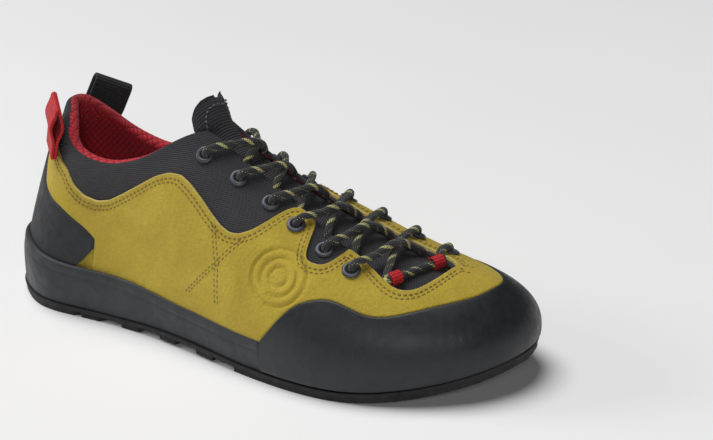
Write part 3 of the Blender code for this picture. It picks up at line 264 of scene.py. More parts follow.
def ground(x):
    """How far the sole as a whole lifts off the floor, at the arch and at the toe."""
    share = x / LENGTH + 0.5
    arch = smooth_step((share - ARCH_FROM) / ARCH_RAMP) * smooth_step((ARCH_TO - share) / ARCH_RAMP)
    toe = np.clip((share - TOE_SPRING_FROM) / (1.0 - TOE_SPRING_FROM), 0.0, 1.0) ** 2
    return ARCH_LIFT * arch + TOE_SPRING * toe


def underside(x):
    share = x / LENGTH + 0.5
    return ground(x) + HEEL_ROLL * np.clip((HEEL_ROLL_TO - share) / HEEL_ROLL_TO, 0.0, 1.0) ** 2


class Last:
    """The surface that all pieces follow. A column is named by its angle round the sole."""

    def __init__(self):
        share, outer, inner = table(OUTLINE)
        half = np.arccos(1.0 - 2.0 * share)
        angles = np.concatenate([half, 2.0 * math.pi - half[-2::-1]])
        self.side_y = spline(angles, np.concatenate([outer, inner[-2::-1]]) * BALL_WIDTH, closed=True)
        share, height, aside, side_power, top_power, bulge = table(SECTIONS)
        self.ridge_height, self.ridge_aside = spline(share, height * MM), spline(share, aside * MM)
        self.side_power, self.top_power = spline(share, side_power), spline(share, top_power)
        self.bulge = spline(share, bulge * MM)
        self.fine_angles = np.linspace(0.0, 2.0 * math.pi, ARC_STEPS)
        x, y = self.edge(self.fine_angles)
        self.fine_arc = np.concatenate([[0.0], np.cumsum(np.hypot(np.diff(x), np.diff(y)))])

    def edge(self, angle):
        return -0.5 * LENGTH * np.cos(angle), self.side_y(angle)

    def angle_of_share(self, side, share):
        half = np.arccos(np.clip(1.0 - 2.0 * np.asarray(share, float), -1.0, 1.0))
        return half if side == OUTER else 2.0 * math.pi - half

    def angle_of_round(self, side, round_mm):
        along = np.asarray(round_mm, float) * MM
        along = self.fine_arc[-1] - along if side == INNER else along
        return np.interp(along, self.fine_arc, self.fine_angles)

    def round_of(self, side, angle):
        along = np.interp(angle, self.fine_angles, self.fine_arc)
        return along if side == OUTER else self.fine_arc[-1] - along

    def share_of(self, angle):
        return 0.5 - 0.5 * np.cos(angle)

    def toe_round(self, side):
        return float(self.round_of(side, math.pi)) / MM

    def ridge(self, share):
        x = -0.5 * LENGTH + RIDGE_BACK + (LENGTH - RIDGE_BACK - RIDGE_FRONT) * share
        return x, self.ridge_aside(share), self.ridge_height(share)

    def ridge_slope(self, share):
        step = 1e-4
        rise = self.ridge_height(share + step) - self.ridge_height(share - step)
        return rise / (2.0 * step * (LENGTH - RIDGE_BACK - RIDGE_FRONT))

    def columns(self, angle):
        share = self.share_of(angle)[:, None]
        turn = np.linspace(0.0, 0.5 * math.pi, COLUMN_ROWS)[None]
        inward = 1.0 - np.cos(turn) ** (2.0 / self.side_power(share))
        upward = np.sin(turn) ** (2.0 / self.top_power(share))
        edge_x, edge_y = (value[:, None] for value in self.edge(angle))
        top_x, top_y, top_z = self.ridge(share)
        reach = np.hypot(top_x - edge_x, top_y - edge_y)
        along = inward - self.bulge(share) * np.sin(math.pi * np.clip(upward, 0.0, 1.0)) / reach
        x = edge_x + (top_x - edge_x) * along
        base = ground(edge_x) + OUTSOLE
        ceiling = top_z + self.ridge_slope(share) * (x - top_x)
        return np.stack([x, edge_y + (top_y - edge_y) * along, base + (ceiling - base) * upward], axis=-1)

    def detail(self, angle):
        """Columns with the distance up each and the outward normals."""
        angle = np.atleast_1d(np.asarray(angle, float))
        points = self.columns(angle)
        turn = 1e-4
        across = self.columns(angle + turn) - self.columns(angle - turn)
        normals = np.cross(across, np.gradient(points, axis=1))
        normals /= np.maximum(np.linalg.norm(normals, axis=2, keepdims=True), 1e-12)
        slope = self.ridge_slope(self.share_of(angle))
        top = np.stack([-slope, np.zeros_like(slope), np.ones_like(slope)], axis=-1)
        normals[:, -1] = top / np.linalg.norm(top, axis=1, keepdims=True)
        lengths = np.linalg.norm(np.diff(points, axis=1), axis=2)
        up = np.concatenate([np.zeros((len(angle), 1)), np.cumsum(lengths, axis=1)], axis=1)
        return points, up, normals

    def top(self, angle):
        return self.detail(angle)[1][:, -1]

    def up_at_level(self, angle, level):
        points, up, _ = self.detail(angle)
        return np.array([np.interp(0.0, p[:, 2] - level(p[:, 0]), u) for p, u in zip(points, up)])

    def place(self, angle, up, out):
        """Points in the frame: one column for each angle, a row of up and out values for each."""
        points, measure, normals = self.detail(angle)
        up = np.atleast_2d(up)
        out = np.broadcast_to(np.asarray(out, float), up.shape)
        made = np.empty((*up.shape, 3))
        for i in range(len(points)):
            ups = np.clip(up[i], 0.0, measure[i, -1])
            for axis in range(3):
                on = np.interp(ups, measure[i], points[i, :, axis])
                made[i, :, axis] = on + out[i] * np.interp(ups, measure[i], normals[i, :, axis])
        return made + SHIFT

    def spot(self, side, share, from_ridge, out=0.0):
        """A point a given way down from the ridge, with the normal there."""
        angle = np.atleast_1d(self.angle_of_share(side, share))
        up = self.top(angle) - from_ridge
        low, high = self.place(angle, up[:, None], 0.0)[0, 0], self.place(angle, up[:, None], 1.0)[0, 0]
        return low + out * (high - low), high - low


LAST = Last()


class Skin:
    """Collects sheets of points with their places on the surface, and welds them into one object."""

    def __init__(self):
        self.points, self.uvs, self.faces, self.looks = [], [], [], []

    def sheet(self, grid, uv=None, flip=False, look=0):
        grid = np.asarray(grid, float)
        rows, columns = grid.shape[:2]
        start = sum(len(part) for part in self.points)
        self.points.append(grid.reshape(-1, 3))
        uv = np.zeros((rows * columns, 2)) if uv is None else np.asarray(uv, float)
        self.uvs.append(uv.reshape(-1, 2))
        i, j = np.meshgrid(np.arange(rows - 1), np.arange(columns - 1), indexing="ij")
        a = (start + i * columns + j).reshape(-1)
        quads = np.stack([a, a + 1, a + columns + 1, a + columns], axis=1)
        self.faces.append(quads[:, ::-1] if flip else quads)
        looks = np.broadcast_to(np.asarray(look), (rows - 1, columns - 1)).reshape(-1)
        self.looks.append(looks)

    def build(self, name, looks, smooth_angle=50.0, drop=None):
        points, uvs = np.concatenate(self.points), np.concatenate(self.uvs)
        faces, which = np.concatenate(self.faces), np.concatenate(self.looks)
        if drop is not None:
            kept = ~drop(points[faces].mean(axis=1))
            faces, which = faces[kept], which[kept]
        data = bpy.data.meshes.new(name)
        data.from_pydata(points.tolist(), [], faces.tolist())
        layer = data.uv_layers.new(name="UVMap")
        corners = np.empty(len(data.loops), int)
        data.loops.foreach_get("vertex_index", corners)
        layer.data.foreach_set("uv", uvs[corners].reshape(-1))
        data.polygons.foreach_set("material_index", which.astype(np.int32))
        form = bmesh.new()
        form.from_mesh(data)
        bmesh.ops.remove_doubles(form, verts=form.verts, dist=2e-6)
        bmesh.ops.dissolve_degenerate(form, edges=form.edges, dist=1e-7)
        bmesh.ops.recalc_face_normals(form, faces=form.faces)
        if form.calc_volume(signed=True) < 0.0:
            bmesh.ops.reverse_faces(form, faces=form.faces)
        form.to_mesh(data)
        form.free()
        return finish_mesh(name, data, looks, smooth_angle)


def finish_mesh(name, data, looks, smooth_angle=50.0):
    data.shade_smooth()
    data.set_sharp_from_angle(angle=math.radians(smooth_angle))
    for look in looks:
        data.materials.append(look)
    item = bpy.data.objects.new(name, data)
    bpy.context.scene.collection.objects.link(item)
    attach(item, "root")
    return item


def surface_uv(side, rounds, up):
    """Places in centimetres round and up, with the outer side below zero."""
    rounds = np.broadcast_to(np.asarray(rounds, float).reshape(-1, 1), up.shape)
    sign = -1.0 if side == OUTER else 1.0
    return np.stack([sign * rounds / 10.0, up / MM / 10.0], axis=-1)


def place_values(side):
    """Places every millimetre round one side, from the heel to the toe."""
    rounds = np.append(np.arange(0.0, LAST.toe_round(side) - 0.4, 1.0), LAST.toe_round(side))
    angles = LAST.angle_of_round(side, rounds)
    angles[0] = 0.0 if side == OUTER else 2.0 * math.pi
    angles[-1] = math.pi
    return rounds, angles


def crease_relief(side, rounds, up):
    """Soft troughs and ridges of use, in metres out."""
    made = np.zeros(np.broadcast(rounds, up).shape)
    for crease_side, begin, end, width, depth in CREASES:
        if crease_side != side:
            continue
        start, run = np.array(begin, float), np.array(end, float) - np.array(begin, float)
        along = ((rounds - start[0]) * run[0] + (up / MM - start[1]) * run[1]) / (run @ run)
        near = np.clip(along, 0.0, 1.0)
        away = np.hypot(rounds - start[0] - near * run[0], up / MM - start[1] - near * run[1])
        fade = np.sin(math.pi * np.clip(along, 0.02, 0.98)) ** 0.6
        made -= depth * MM * np.exp(-((away / width) ** 2)) * fade
    return made


def floor_height(x):
    """Top of the midsole's floor."""
    share, thick = table(MIDSOLE_FLOOR)
    return ground(x) + OUTSOLE + GAP + np.interp(x / LENGTH + 0.5, share, thick) * MM


def collar_up(side, angle):
    """How far up the surface the edge of the collar or throat lies, before the throat closes."""
    rounds, outer, inner = table(COLLAR)
    ups = spline(rounds, outer if side == OUTER else inner)
    where = LAST.round_of(side, angle) / MM
    collar = ups(np.minimum(where, rounds[-1])) * MM + np.maximum(where - rounds[-1], 0.0) * 1.5 * MM
    share, outer, inner = table(THROAT)
    widths = rounded_line(share * 100, outer if side == OUTER else inner, 0.9)
    down = widths(LAST.share_of(angle) * 100) * MM
    down = np.where(LAST.share_of(angle) >= THROAT_FRONT, 0.0, down)
    throat = LAST.top(angle) - down
    low = np.minimum(collar, throat)
    blend = np.exp(-(collar - low) / COLLAR_CORNER) + np.exp(-(throat - low) / COLLAR_CORNER)
    return low - COLLAR_CORNER * np.log(blend) * (down > 6 * MM), down


def pad_share(side, angle, up, edge):
    """How much of the collar's padding lies at each place."""
    where = LAST.round_of(side, angle)[:, None]
    near = smooth_step(1.0 - (edge[:, None] - up) / PAD_DEPTH)
    return near * smooth_step((PAD_FADE_TO - where) / (PAD_FADE_TO - PAD_FADE_FROM))


def frame_at(normal, along):
    """Axes for a piece that stands on the surface: along it, across it and out of it."""
    out = normal / np.linalg.norm(normal)
    along = along - out * np.dot(along, out)
    along /= np.linalg.norm(along)
    return along, np.cross(out, along), out


def eyelet_frames():
    """Centre, axes and stand-off of each eyelet, outer side first."""
    made = []
    for side in (OUTER, INNER):
        for share, down, on_suede in EYELETS[side]:
            centre, normal = LAST.spot(side, share, down * MM)
            ahead, _ = LAST.spot(side, share + 0.01, down * MM)
            stand = 1.3 * GAP + (SUEDE_OUT if on_suede else 0.0)
            made.append((centre, frame_at(normal, ahead - centre), stand))
    return made


def in_eyelet_holes(centres):
    """Which points lie inside an eyelet's hole, under its ring."""
    found = np.zeros(len(centres), bool)
    for centre, (along, across, out), _ in eyelet_frames():
        away = centres - centre
        height = away @ out
        radius = np.hypot(away @ along, away @ across)
        found |= (radius < EYELET_BARREL + 0.5 * MM) & (np.abs(height) < 6 * MM)
    return found


# Repeats of the fabrics' patterns, in centimetres.
RIB_CM, QUILT_CM, WEBBING_RIB_CM = 0.105, 0.50, 0.125
BRAID_CM, FLECK_CM, FLECK_STRETCH_CM = 0.16, 0.64, 1.35


class Look:
    """One material, with short names for the nodes it is made of."""

    def __init__(self, name, colour, roughness=0.8, **fixed):
        self.item = bpy.data.materials.new(name)
        self.item.use_nodes = True
        self.tree = self.item.node_tree
        self.shader = self.tree.nodes["Principled BSDF"]
        self.shader.inputs["Base Color"].default_value = (*colour, 1.0)
        self.shader.inputs["Roughness"].default_value = roughness
        for key, value in fixed.items():
            self.shader.inputs[key.replace("_", " ")].default_value = value
        self.height = None
        place = self.tree.nodes.new("ShaderNodeTexCoord")
        self.object_place, self.uv_place = place.outputs["Object"], place.outputs["UV"]

    def link(self, source, target):
        self.tree.links.new(source, target)

    def math(self, operation, first, second=0.0, third=0.0):
        made = self.tree.nodes.new("ShaderNodeMath")
        made.operation = operation
        for socket, value in zip(made.inputs, (first, second, third)):
            if isinstance(value, (int, float)):
                socket.default_value = value
            else:
                self.link(value, socket)
        return made.outputs[0]

    def noise(self, scale, detail=3.0, place=None, stretch=(1.0, 1.0, 1.0), distortion=0.0):
        mapping = self.tree.nodes.new("ShaderNodeMapping")
        mapping.inputs["Scale"].default_value = stretch
        self.link(self.object_place if place is None else place, mapping.inputs["Vector"])
        made = self.tree.nodes.new("ShaderNodeTexNoise")
        made.inputs["Scale"].default_value = scale
        made.inputs["Detail"].default_value = detail
        made.inputs["Distortion"].default_value = distortion
        self.link(mapping.outputs[0], made.inputs["Vector"])
        return made.outputs["Fac"]

    def uv(self):
        split = self.tree.nodes.new("ShaderNodeSeparateXYZ")
        self.link(self.uv_place, split.inputs[0])
        return split.outputs[0], split.outputs[1]

    def ribs(self, value, period):
        """A wave between 0 and 1 along the value, one for each period."""
        turn = self.math("MULTIPLY", value, 2.0 * math.pi / period)
        return self.math("MULTIPLY_ADD", self.math("SINE", turn), 0.5, 0.5)

    def ramp(self, value, stops):
        made = self.tree.nodes.new("ShaderNodeValToRGB")
        elements = made.color_ramp.elements
        while len(elements) < len(stops):
            elements.new(0.5)
        for element, (place, colour) in zip(elements, stops):
            element.position = place
            element.color = (*colour, 1.0)
        self.link(value, made.inputs[0])
        return made.outputs[0]

    def mix(self, factor, first, second, blend="MIX"):
        made = self.tree.nodes.new("ShaderNodeMix")
        made.data_type = "RGBA"
        made.blend_type = blend
        for socket, value in ((made.inputs[0], factor), (made.inputs[6], first), (made.inputs[7], second)):
            if isinstance(value, (int, float)):
                socket.default_value = value
            elif isinstance(value, tuple):
                socket.default_value = (*value, 1.0)
            else:
                self.link(value, socket)
        return made.outputs[2]

    def colour(self, source):
        self.link(source, self.shader.inputs["Base Color"])

    def rough(self, source):
        self.link(source, self.shader.inputs["Roughness"])

    def bump(self, height, depth, strength=1.0):
        """Adds a relief of the given depth in metres."""
        made = self.tree.nodes.new("ShaderNodeBump")
        made.inputs["Distance"].default_value = depth
        made.inputs["Strength"].default_value = strength
        self.link(height, made.inputs["Height"])
        if self.height is not None:
            self.link(self.height, made.inputs["Normal"])
        self.height = made.outputs[0]
        self.link(self.height, self.shader.inputs["Normal"])


def textile_look():
    look = Look("ribbed_textile", (0.07, 0.07, 0.078), 0.85, Sheen_Weight=0.08, Sheen_Roughness=0.4)
    across, up = look.uv()
    slant = look.math("ADD", up, look.math("MULTIPLY", across, 0.10))
    ribs = look.ribs(slant, RIB_CM)
    threads = look.ribs(look.math("SUBTRACT", across, look.math("MULTIPLY", up, 0.3)), 0.06)
    blotch = look.noise(45.0, 4.0)
    fibre = look.noise(1800.0, 2.0)
    dark = look.ramp(blotch, [(0.25, (0.022, 0.022, 0.026)), (0.75, (0.040, 0.040, 0.046))])
    # Painted shade: the ribs' tops are painted lighter and the grooves between them darker.
    raised = look.mix(look.math("MULTIPLY", ribs, 0.65), dark, (0.060, 0.060, 0.068))
    look.colour(look.mix(look.math("MULTIPLY", fibre, 0.4), raised, (0.016, 0.016, 0.019)))
    look.bump(ribs, 0.00035)
    look.bump(threads, 0.00010)
    look.bump(fibre, 0.00012, 0.6)
    return look.item


def lining_look():
    look = Look("quilted_lining", (0.55, 0.02, 0.04), 0.75, Sheen_Weight=0.12, Sheen_Roughness=0.4)
    across, up = look.uv()

    def channel(direction):
        turn = look.math("MULTIPLY", look.math(direction, across, up), math.pi / QUILT_CM)
        return look.math("ABSOLUTE", look.math("SINE", turn))

    quilt = look.math("POWER", look.math("MULTIPLY", channel("ADD"), channel("SUBTRACT")), 0.45)
    mesh = look.math("MULTIPLY", look.ribs(across, 0.105), look.ribs(up, 0.105))
    # Painted shade: the quilt's channels are painted darker than its puffs.
    quilt_reds_shaded_in_channels = [(0.0, (0.36, 0.006, 0.014)), (0.45, (0.52, 0.010, 0.024)), (1.0, (0.66, 0.020, 0.040))]
    base = look.ramp(quilt, quilt_reds_shaded_in_channels)
    look.colour(look.mix(look.math("MULTIPLY", mesh, 0.35), base, (0.24, 0.004, 0.010)))
    look.bump(quilt, 0.0007)
    look.bump(mesh, 0.00020)
    look.bump(look.noise(900.0, 2.0), 0.00015, 0.5)
    return look.item


def suede_look(name="suede_nap", lighter=0.0):
    look = Look(name, (0.62, 0.46, 0.10), 0.92, Sheen_Weight=0.12, Sheen_Roughness=0.5)
    look.shader.inputs["Sheen Tint"].default_value = (1.0, 0.85, 0.40, 1.0)
    cloud = look.noise(38.0, 5.0, distortion=0.6)
    nap = look.noise(620.0, 4.0, distortion=0.8)
    fine = look.noise(2600.0, 2.0)
    base = look.ramp(cloud, [
        (0.28, (0.42 + lighter, 0.30 + lighter, 0.022 + lighter)),
        (0.55, (0.52 + lighter, 0.385 + lighter, 0.032 + lighter)),
        (0.78, (0.60 + lighter, 0.455 + lighter, 0.050 + lighter)),
    ])
    worn = look.mix(look.math("MULTIPLY", look.math("POWER", nap, 1.6), 0.75), base, (0.29, 0.195, 0.010))
    look.colour(look.mix(look.math("MULTIPLY", fine, 0.22), worn, (0.72, 0.58, 0.12)))
    look.bump(cloud, 0.0008, 0.5)
    look.bump(nap, 0.00055, 0.9)
    look.bump(fine, 0.00012, 0.6)
    return look.item


def rubber_look(name, low, high, roughness, streak=None, coat=0.0, grain=900.0, depth=0.00008):
    look = Look(name, low, roughness[0], Coat_Weight=coat, Coat_Roughness=0.35, Specular_IOR_Level=0.38)
    cloud = look.noise(30.0, 4.0)
    tone = cloud
    if streak is not None:
        streaks = look.noise(9.0, 4.0, place=look.uv_place, stretch=streak)
        tone = look.math("ADD", look.math("MULTIPLY", cloud, 0.25), look.math("MULTIPLY", streaks, 0.75))
    look.colour(look.ramp(tone, [(0.30, low), (0.70, high)]))
    dull, shiny = (roughness[1],) * 3, (roughness[0],) * 3
    look.rough(look.ramp(look.noise(110.0, 5.0, distortion=1.0), [(0.35, shiny), (0.70, dull)]))
    look.bump(tone, 0.0002, 0.5)
    look.bump(look.noise(grain, 3.0), depth, 0.8)
    return look.item


def lace_look():
    look = Look("braided_lace", (0.05, 0.051, 0.056), 0.8, Sheen_Weight=0.2)
    along, around = look.uv()
    turn = look.math("MULTIPLY", around, 6.0)
    pitch = look.math("MULTIPLY", along, 1.0 / BRAID_CM)
    first = look.math("SINE", look.math("MULTIPLY", look.math("ADD", pitch, turn), 2.0 * math.pi))
    second = look.math("SINE", look.math("MULTIPLY", look.math("SUBTRACT", pitch, turn), 2.0 * math.pi))
    braid = look.math("MULTIPLY_ADD", look.math("MULTIPLY", first, second), 0.5, 0.5)
    spiral = look.math("ADD", look.math("MULTIPLY", along, 1.0 / FLECK_CM), look.math("MULTIPLY", around, 2.0))
    spots = look.math("SINE", look.math("MULTIPLY", spiral, 2.0 * math.pi))
    stretch = look.math("SINE", look.math("MULTIPLY", along, 2.0 * math.pi / FLECK_STRETCH_CM))
    level = look.math("MULTIPLY_ADD", stretch, -0.30, 0.55)
    flecks = look.math("GREATER_THAN", look.math("MULTIPLY", spots, braid), level)
    # Painted shade: the braid is painted darker in the gaps between its strands and lighter on the strands.
    dark = look.mix(braid, (0.010, 0.010, 0.012), (0.042, 0.043, 0.048))
    look.colour(look.mix(flecks, dark, (0.62, 0.58, 0.22)))
    look.bump(braid, 0.00035)
    return look.item


def webbing_look(name, low, high):
    look = Look(name, low, 0.75, Sheen_Weight=0.08, Sheen_Roughness=0.4)
    across, along = look.uv()
    cords = look.ribs(along, WEBBING_RIB_CM)
    weft = look.ribs(across, 0.07)
    # Painted shade: the webbing is painted darker in the grooves between its cords and across its weft, and lighter
    # on the raised cords.
    tone = look.math("MULTIPLY", cords, look.math("MULTIPLY_ADD", weft, 0.5, 0.5))
    look.colour(look.mix(tone, low, high))
    look.bump(cords, 0.0003)
    look.bump(weft, 0.00012)
    look.bump(look.noise(1500.0, 2.0), 0.0001, 0.5)
    return look.item


def thread_look(name, colour):
    look = Look(name, colour, 0.7, Sheen_Weight=0.2)
    tone = look.noise(1400.0, 2.0)
    look.colour(look.mix(tone, tuple(0.6 * c for c in colour), colour))
    look.bump(tone, 0.0001, 0.7)
    return look.item


def satin_look(name, low, high):
    look = Look(name, low, 0.42, Coat_Weight=0.15, Coat_Roughness=0.3)
    cloud = look.noise(160.0, 4.0)
    look.colour(look.ramp(cloud, [(0.3, low), (0.7, high)]))
    look.bump(look.noise(700.0, 3.0), 0.00006, 0.7)
    return look.item


LOOKS = {
    "textile": textile_look(),
    "lining": lining_look(),
    "suede": suede_look(),
    "suede_cut": suede_look("suede_cut_edge", 0.16),
    "rand": rubber_look(
        "toe_rubber", (0.014, 0.015, 0.018), (0.026, 0.028, 0.032), (0.36, 0.56), (9.0, 0.45, 1.0), 0.10),
    "counter": rubber_look("heel_rubber", (0.017, 0.018, 0.020), (0.028, 0.029, 0.033), (0.55, 0.75), grain=1400.0),
    "midsole": rubber_look("foam", (0.026, 0.028, 0.032), (0.042, 0.044, 0.050), (0.45, 0.68), grain=1500.0),
    "outsole": rubber_look("tread_rubber", (0.012, 0.012, 0.013), (0.022, 0.022, 0.024), (0.60, 0.85), grain=1200.0),
    "lace": lace_look(),
    "eyelet": satin_look("eyelet_plastic", (0.040, 0.044, 0.060), (0.062, 0.068, 0.088)),
    "red_webbing": webbing_look("red_ribbed_webbing", (0.42, 0.006, 0.010), (0.82, 0.012, 0.020)),
    "black_webbing": webbing_look("black_ribbed_webbing", (0.008, 0.008, 0.009), (0.030, 0.030, 0.034)),
    # The stitches on the suede are real thread; their dark colour is painted shade that stands for the shade in the
    # needle holes.
    "suede_thread_with_hole_shade": thread_look("suede_thread_with_hole_shade", (0.27, 0.18, 0.025)),
    "dark_thread": thread_look("dark_thread", (0.16, 0.16, 0.17)),
}


def insole_look():
    look = Look("knitted_cover", (0.45, 0.015, 0.03), 0.85, Sheen_Weight=0.3)
    knit = look.noise(700.0, 3.0, stretch=(1.0, 2.0, 1.0))
    look.colour(look.ramp(knit, [(0.3, (0.20, 0.006, 0.012)), (0.7, (0.52, 0.020, 0.038))]))
    look.bump(knit, 0.0003, 0.8)
    return look.item


def make_upper():
    """The textile wall with its quilted lining, which wraps over the padded rim."""
    skin = Skin()
    rows = np.linspace(0.0, 1.0, 44)
    for side in (OUTER, INNER):
        rounds, angles = place_values(side)
        shares = LAST.share_of(angles)
        tops = LAST.top(angles)
        edge, down = collar_up(side, angles)
        open_above = (shares <= THROAT_FRONT) & (down > 0)
        edge = np.where(open_above, edge, tops)
        bottom = LAST.up_at_level(angles, lambda x: floor_height(x) + GAP)
        up = bottom[:, None] + (edge - bottom)[:, None] * rows
        pad = pad_share(side, angles, up, edge)
        puff = PAD_PUFF * pad * pad * np.sin(math.pi * rows) + crease_relief(side, rounds[:, None], up)
        dimples = 0.35 * MM * np.sin(rounds[:, None] / 9.0 + 0.8) * np.sin(up / MM / 8.0)
        outer = LAST.place(angles, up, puff + dimples * smooth_step((edge[:, None] - up) / (12 * MM)))
        inner = LAST.place(angles, up, -(WALL + COLLAR_PAD * pad))
        uv = surface_uv(side, rounds, up)
        skin.sheet(outer, uv)
        skin.sheet(inner, uv, flip=True, look=1)
        skin.sheet(np.stack([outer[:, 0], inner[:, 0]]), look=1)
        lips = np.nonzero(open_above)[0]
        thick = (WALL + COLLAR_PAD * pad[:, -1])[lips]
        rise = np.minimum(0.5 * thick, 0.7 * (tops - edge)[lips])
        turns = np.linspace(0.0, math.pi, 12)
        lip_up = edge[lips][:, None] + rise[:, None] * np.sin(turns)
        lip_out = -0.5 * thick[:, None] * (1.0 - np.cos(turns))
        lip_out = lip_out + 0.5 * puff[lips, -1:] * (1.0 + np.cos(turns))
        rim = LAST.place(angles[lips], lip_up, lip_out)
        rim[:, 0], rim[:, -1] = outer[lips, -1], inner[lips, -1]
        lip_uv = surface_uv(side, rounds[lips], edge[lips][:, None] + thick[:, None] * turns[None] / 2)
        at = rounds[lips][:-1]
        first_red = np.where(at < COLLAR_END, 2 + 2 * smooth_step((42.0 - at) / 25.0), 7)
        turned = np.arange(11)[None] >= first_red[:, None]
        skin.sheet(rim, lip_uv, look=turned.astype(int))
    piece = skin.build("upper_skin", [LOOKS["textile"], LOOKS["lining"]], drop=in_eyelet_holes)
    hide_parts("upper")
    return piece


def suede_border(side):
    """The overlay's own border in even steps along it: distances round, angles and heights."""
    place, tall = table(SUEDE_TOP[side])
    line = rounded_line(place, tall, 1.2)
    rounds = np.arange(0.0, LAST.toe_round(side) + 0.01, 0.25)
    angles = LAST.angle_of_round(side, rounds)
    share, tops = LAST.share_of(angles), LAST.top(angles)
    _, down = collar_up(side, angles)
    edge = np.where(share > THROAT_FRONT, tops, tops - down - SUEDE_MARGIN)
    own = np.where(rounds <= place[-1], line(rounds) * MM, edge)
    ups = np.minimum(own, edge)
    ups = np.where((rounds <= place[-1]) & (edge < own), edge, ups)
    length = np.concatenate([[0.0], np.cumsum(np.hypot(np.diff(rounds), np.diff(ups) / MM))])
    count = int(length[-1] / 1.0)
    even = np.linspace(0.0, length[-1], count)
    rounds, ups = np.interp(even, length, rounds), np.interp(even, length, ups)
    angles = LAST.angle_of_round(side, rounds)
    angles[0] = 0.0 if side == OUTER else 2.0 * math.pi
    angles[-1] = math.pi
    rounds[-1] = LAST.toe_round(side)
    return rounds, angles, ups


def rand_top(side, rounds):
    place, tall = table(RAND_TOP[side])
    place[-1] = LAST.toe_round(side)
    return spline(place, tall)(rounds) * MM


def motif_relief(side, rounds, up):
    """A plain raised ring pattern in the place of the original's ornament."""
    if side != OUTER:
        return np.zeros(np.broadcast(rounds, up).shape)
    across, above = rounds - MOTIF_CENTRE[0], up / MM - MOTIF_CENTRE[1]
    away = np.hypot(across * 0.92, above)
    made = np.zeros(away.shape)
    for radius in MOTIF_RADII:
        made -= 0.95 * MM * np.exp(-(((away - radius) / 0.95) ** 4))
    return made


def suede_out(side, rounds, up):
    """How far out the suede's face lies: it dips to pass under the rand and the counter."""
    rand = np.where(rounds > RAND_START[side], rand_top(side, np.maximum(rounds, RAND_START[side])), -1.0)
    over_rand = smooth_step((up - rand) / (1.6 * MM) + 0.3)
    place, _, tall = table(COUNTER)
    top = np.interp(rounds, place, tall, right=-10.0) * MM
    over_counter = smooth_step((up - top) / (1.6 * MM) + 0.3)
    over_rand = np.where(rounds > RAND_START[side], over_rand, 1.0)
    over_counter = np.where(rounds < COUNTER_END, over_counter, 1.0)
    return SUEDE_TUCKED + (SUEDE_OUT - SUEDE_TUCKED) * np.minimum(over_rand, over_counter)


def make_suede():
    """The suede overlay with its cut edges; it tucks under the rand, the counter and the sole's lip."""
    skin = Skin()
    lip_rounds, lip_up, _ = table(LIP)
    for side in (OUTER, INNER):
        rounds, angles, upper = suede_border(side)
        behind_lip = np.interp(rounds, lip_rounds, lip_up) * MM - SUEDE_TUCK
        start = RAND_START[side]
        under_rand = rand_top(side, np.maximum(rounds, start)) - 3.0 * MM
        lower = np.where(rounds < start, behind_lip, np.maximum(under_rand, behind_lip - 3 * MM))
        rows = np.linspace(0.0, 1.0, 64)
        up = lower[:, None] + (upper - lower)[:, None] * rows
        at = rounds[:, None]
        face = suede_out(side, at, up) + crease_relief(side, at, up) + motif_relief(side, at, up)
        near = (upper[:, None] - up) / MM
        face -= 0.22 * MM * np.exp(-(((near - 3.2) / 1.9) ** 2))
        shares = LAST.share_of(angles)
        outer = LAST.place(angles, up, face)
        uv = surface_uv(side, rounds, up)
        skin.sheet(outer, uv)
        turns = np.linspace(0.0, 0.5 * math.pi, 4)
        round_off = 0.45 * MM
        edge_up = upper[:, None] + round_off * np.sin(turns)
        edge_out = face[:, -1:] - round_off * (1.0 - np.cos(turns))
        edge_up = np.concatenate([edge_up, edge_up[:, -1:], upper[:, None] - 1.0 * MM], axis=1)
        foot = np.repeat([[0.05 * MM, -0.1 * MM]], len(rounds), axis=0)
        edge_out = np.concatenate([edge_out, foot], axis=1)
        kept = shares <= THROAT_FRONT + 0.004
        rim = LAST.place(angles[kept], edge_up[kept], edge_out[kept])
        rim[:, 0] = outer[kept, -1]
        skin.sheet(rim, surface_uv(side, rounds[kept], edge_up[kept]), look=1)
    piece = skin.build("suede_skin", [LOOKS["suede"], LOOKS["suede_cut"]], drop=in_eyelet_holes)
    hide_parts("suede_overlay")
    return piece


def turned_edge(skin, side, rounds, angles, top, up, out, front):
    """Closes the top edge of a rubber sheet with a rounded turn down to the surface."""
    turns = np.linspace(0.0, 1.0, 5)[1:]
    rim_up = np.concatenate([up[:, -1:], top[:, None] + EDGE_FOOT * np.sin(turns * math.pi * 0.5)], axis=1)
    rim_out = np.concatenate([out[:, -1:], out[:, -1:] * (1.0 - turns) + EDGE_FOOT * turns], axis=1)
    rim = LAST.place(angles, rim_up, rim_out)
    rim[:, 0] = front[:, -1]
    skin.sheet(rim, surface_uv(side, rounds, rim_up))


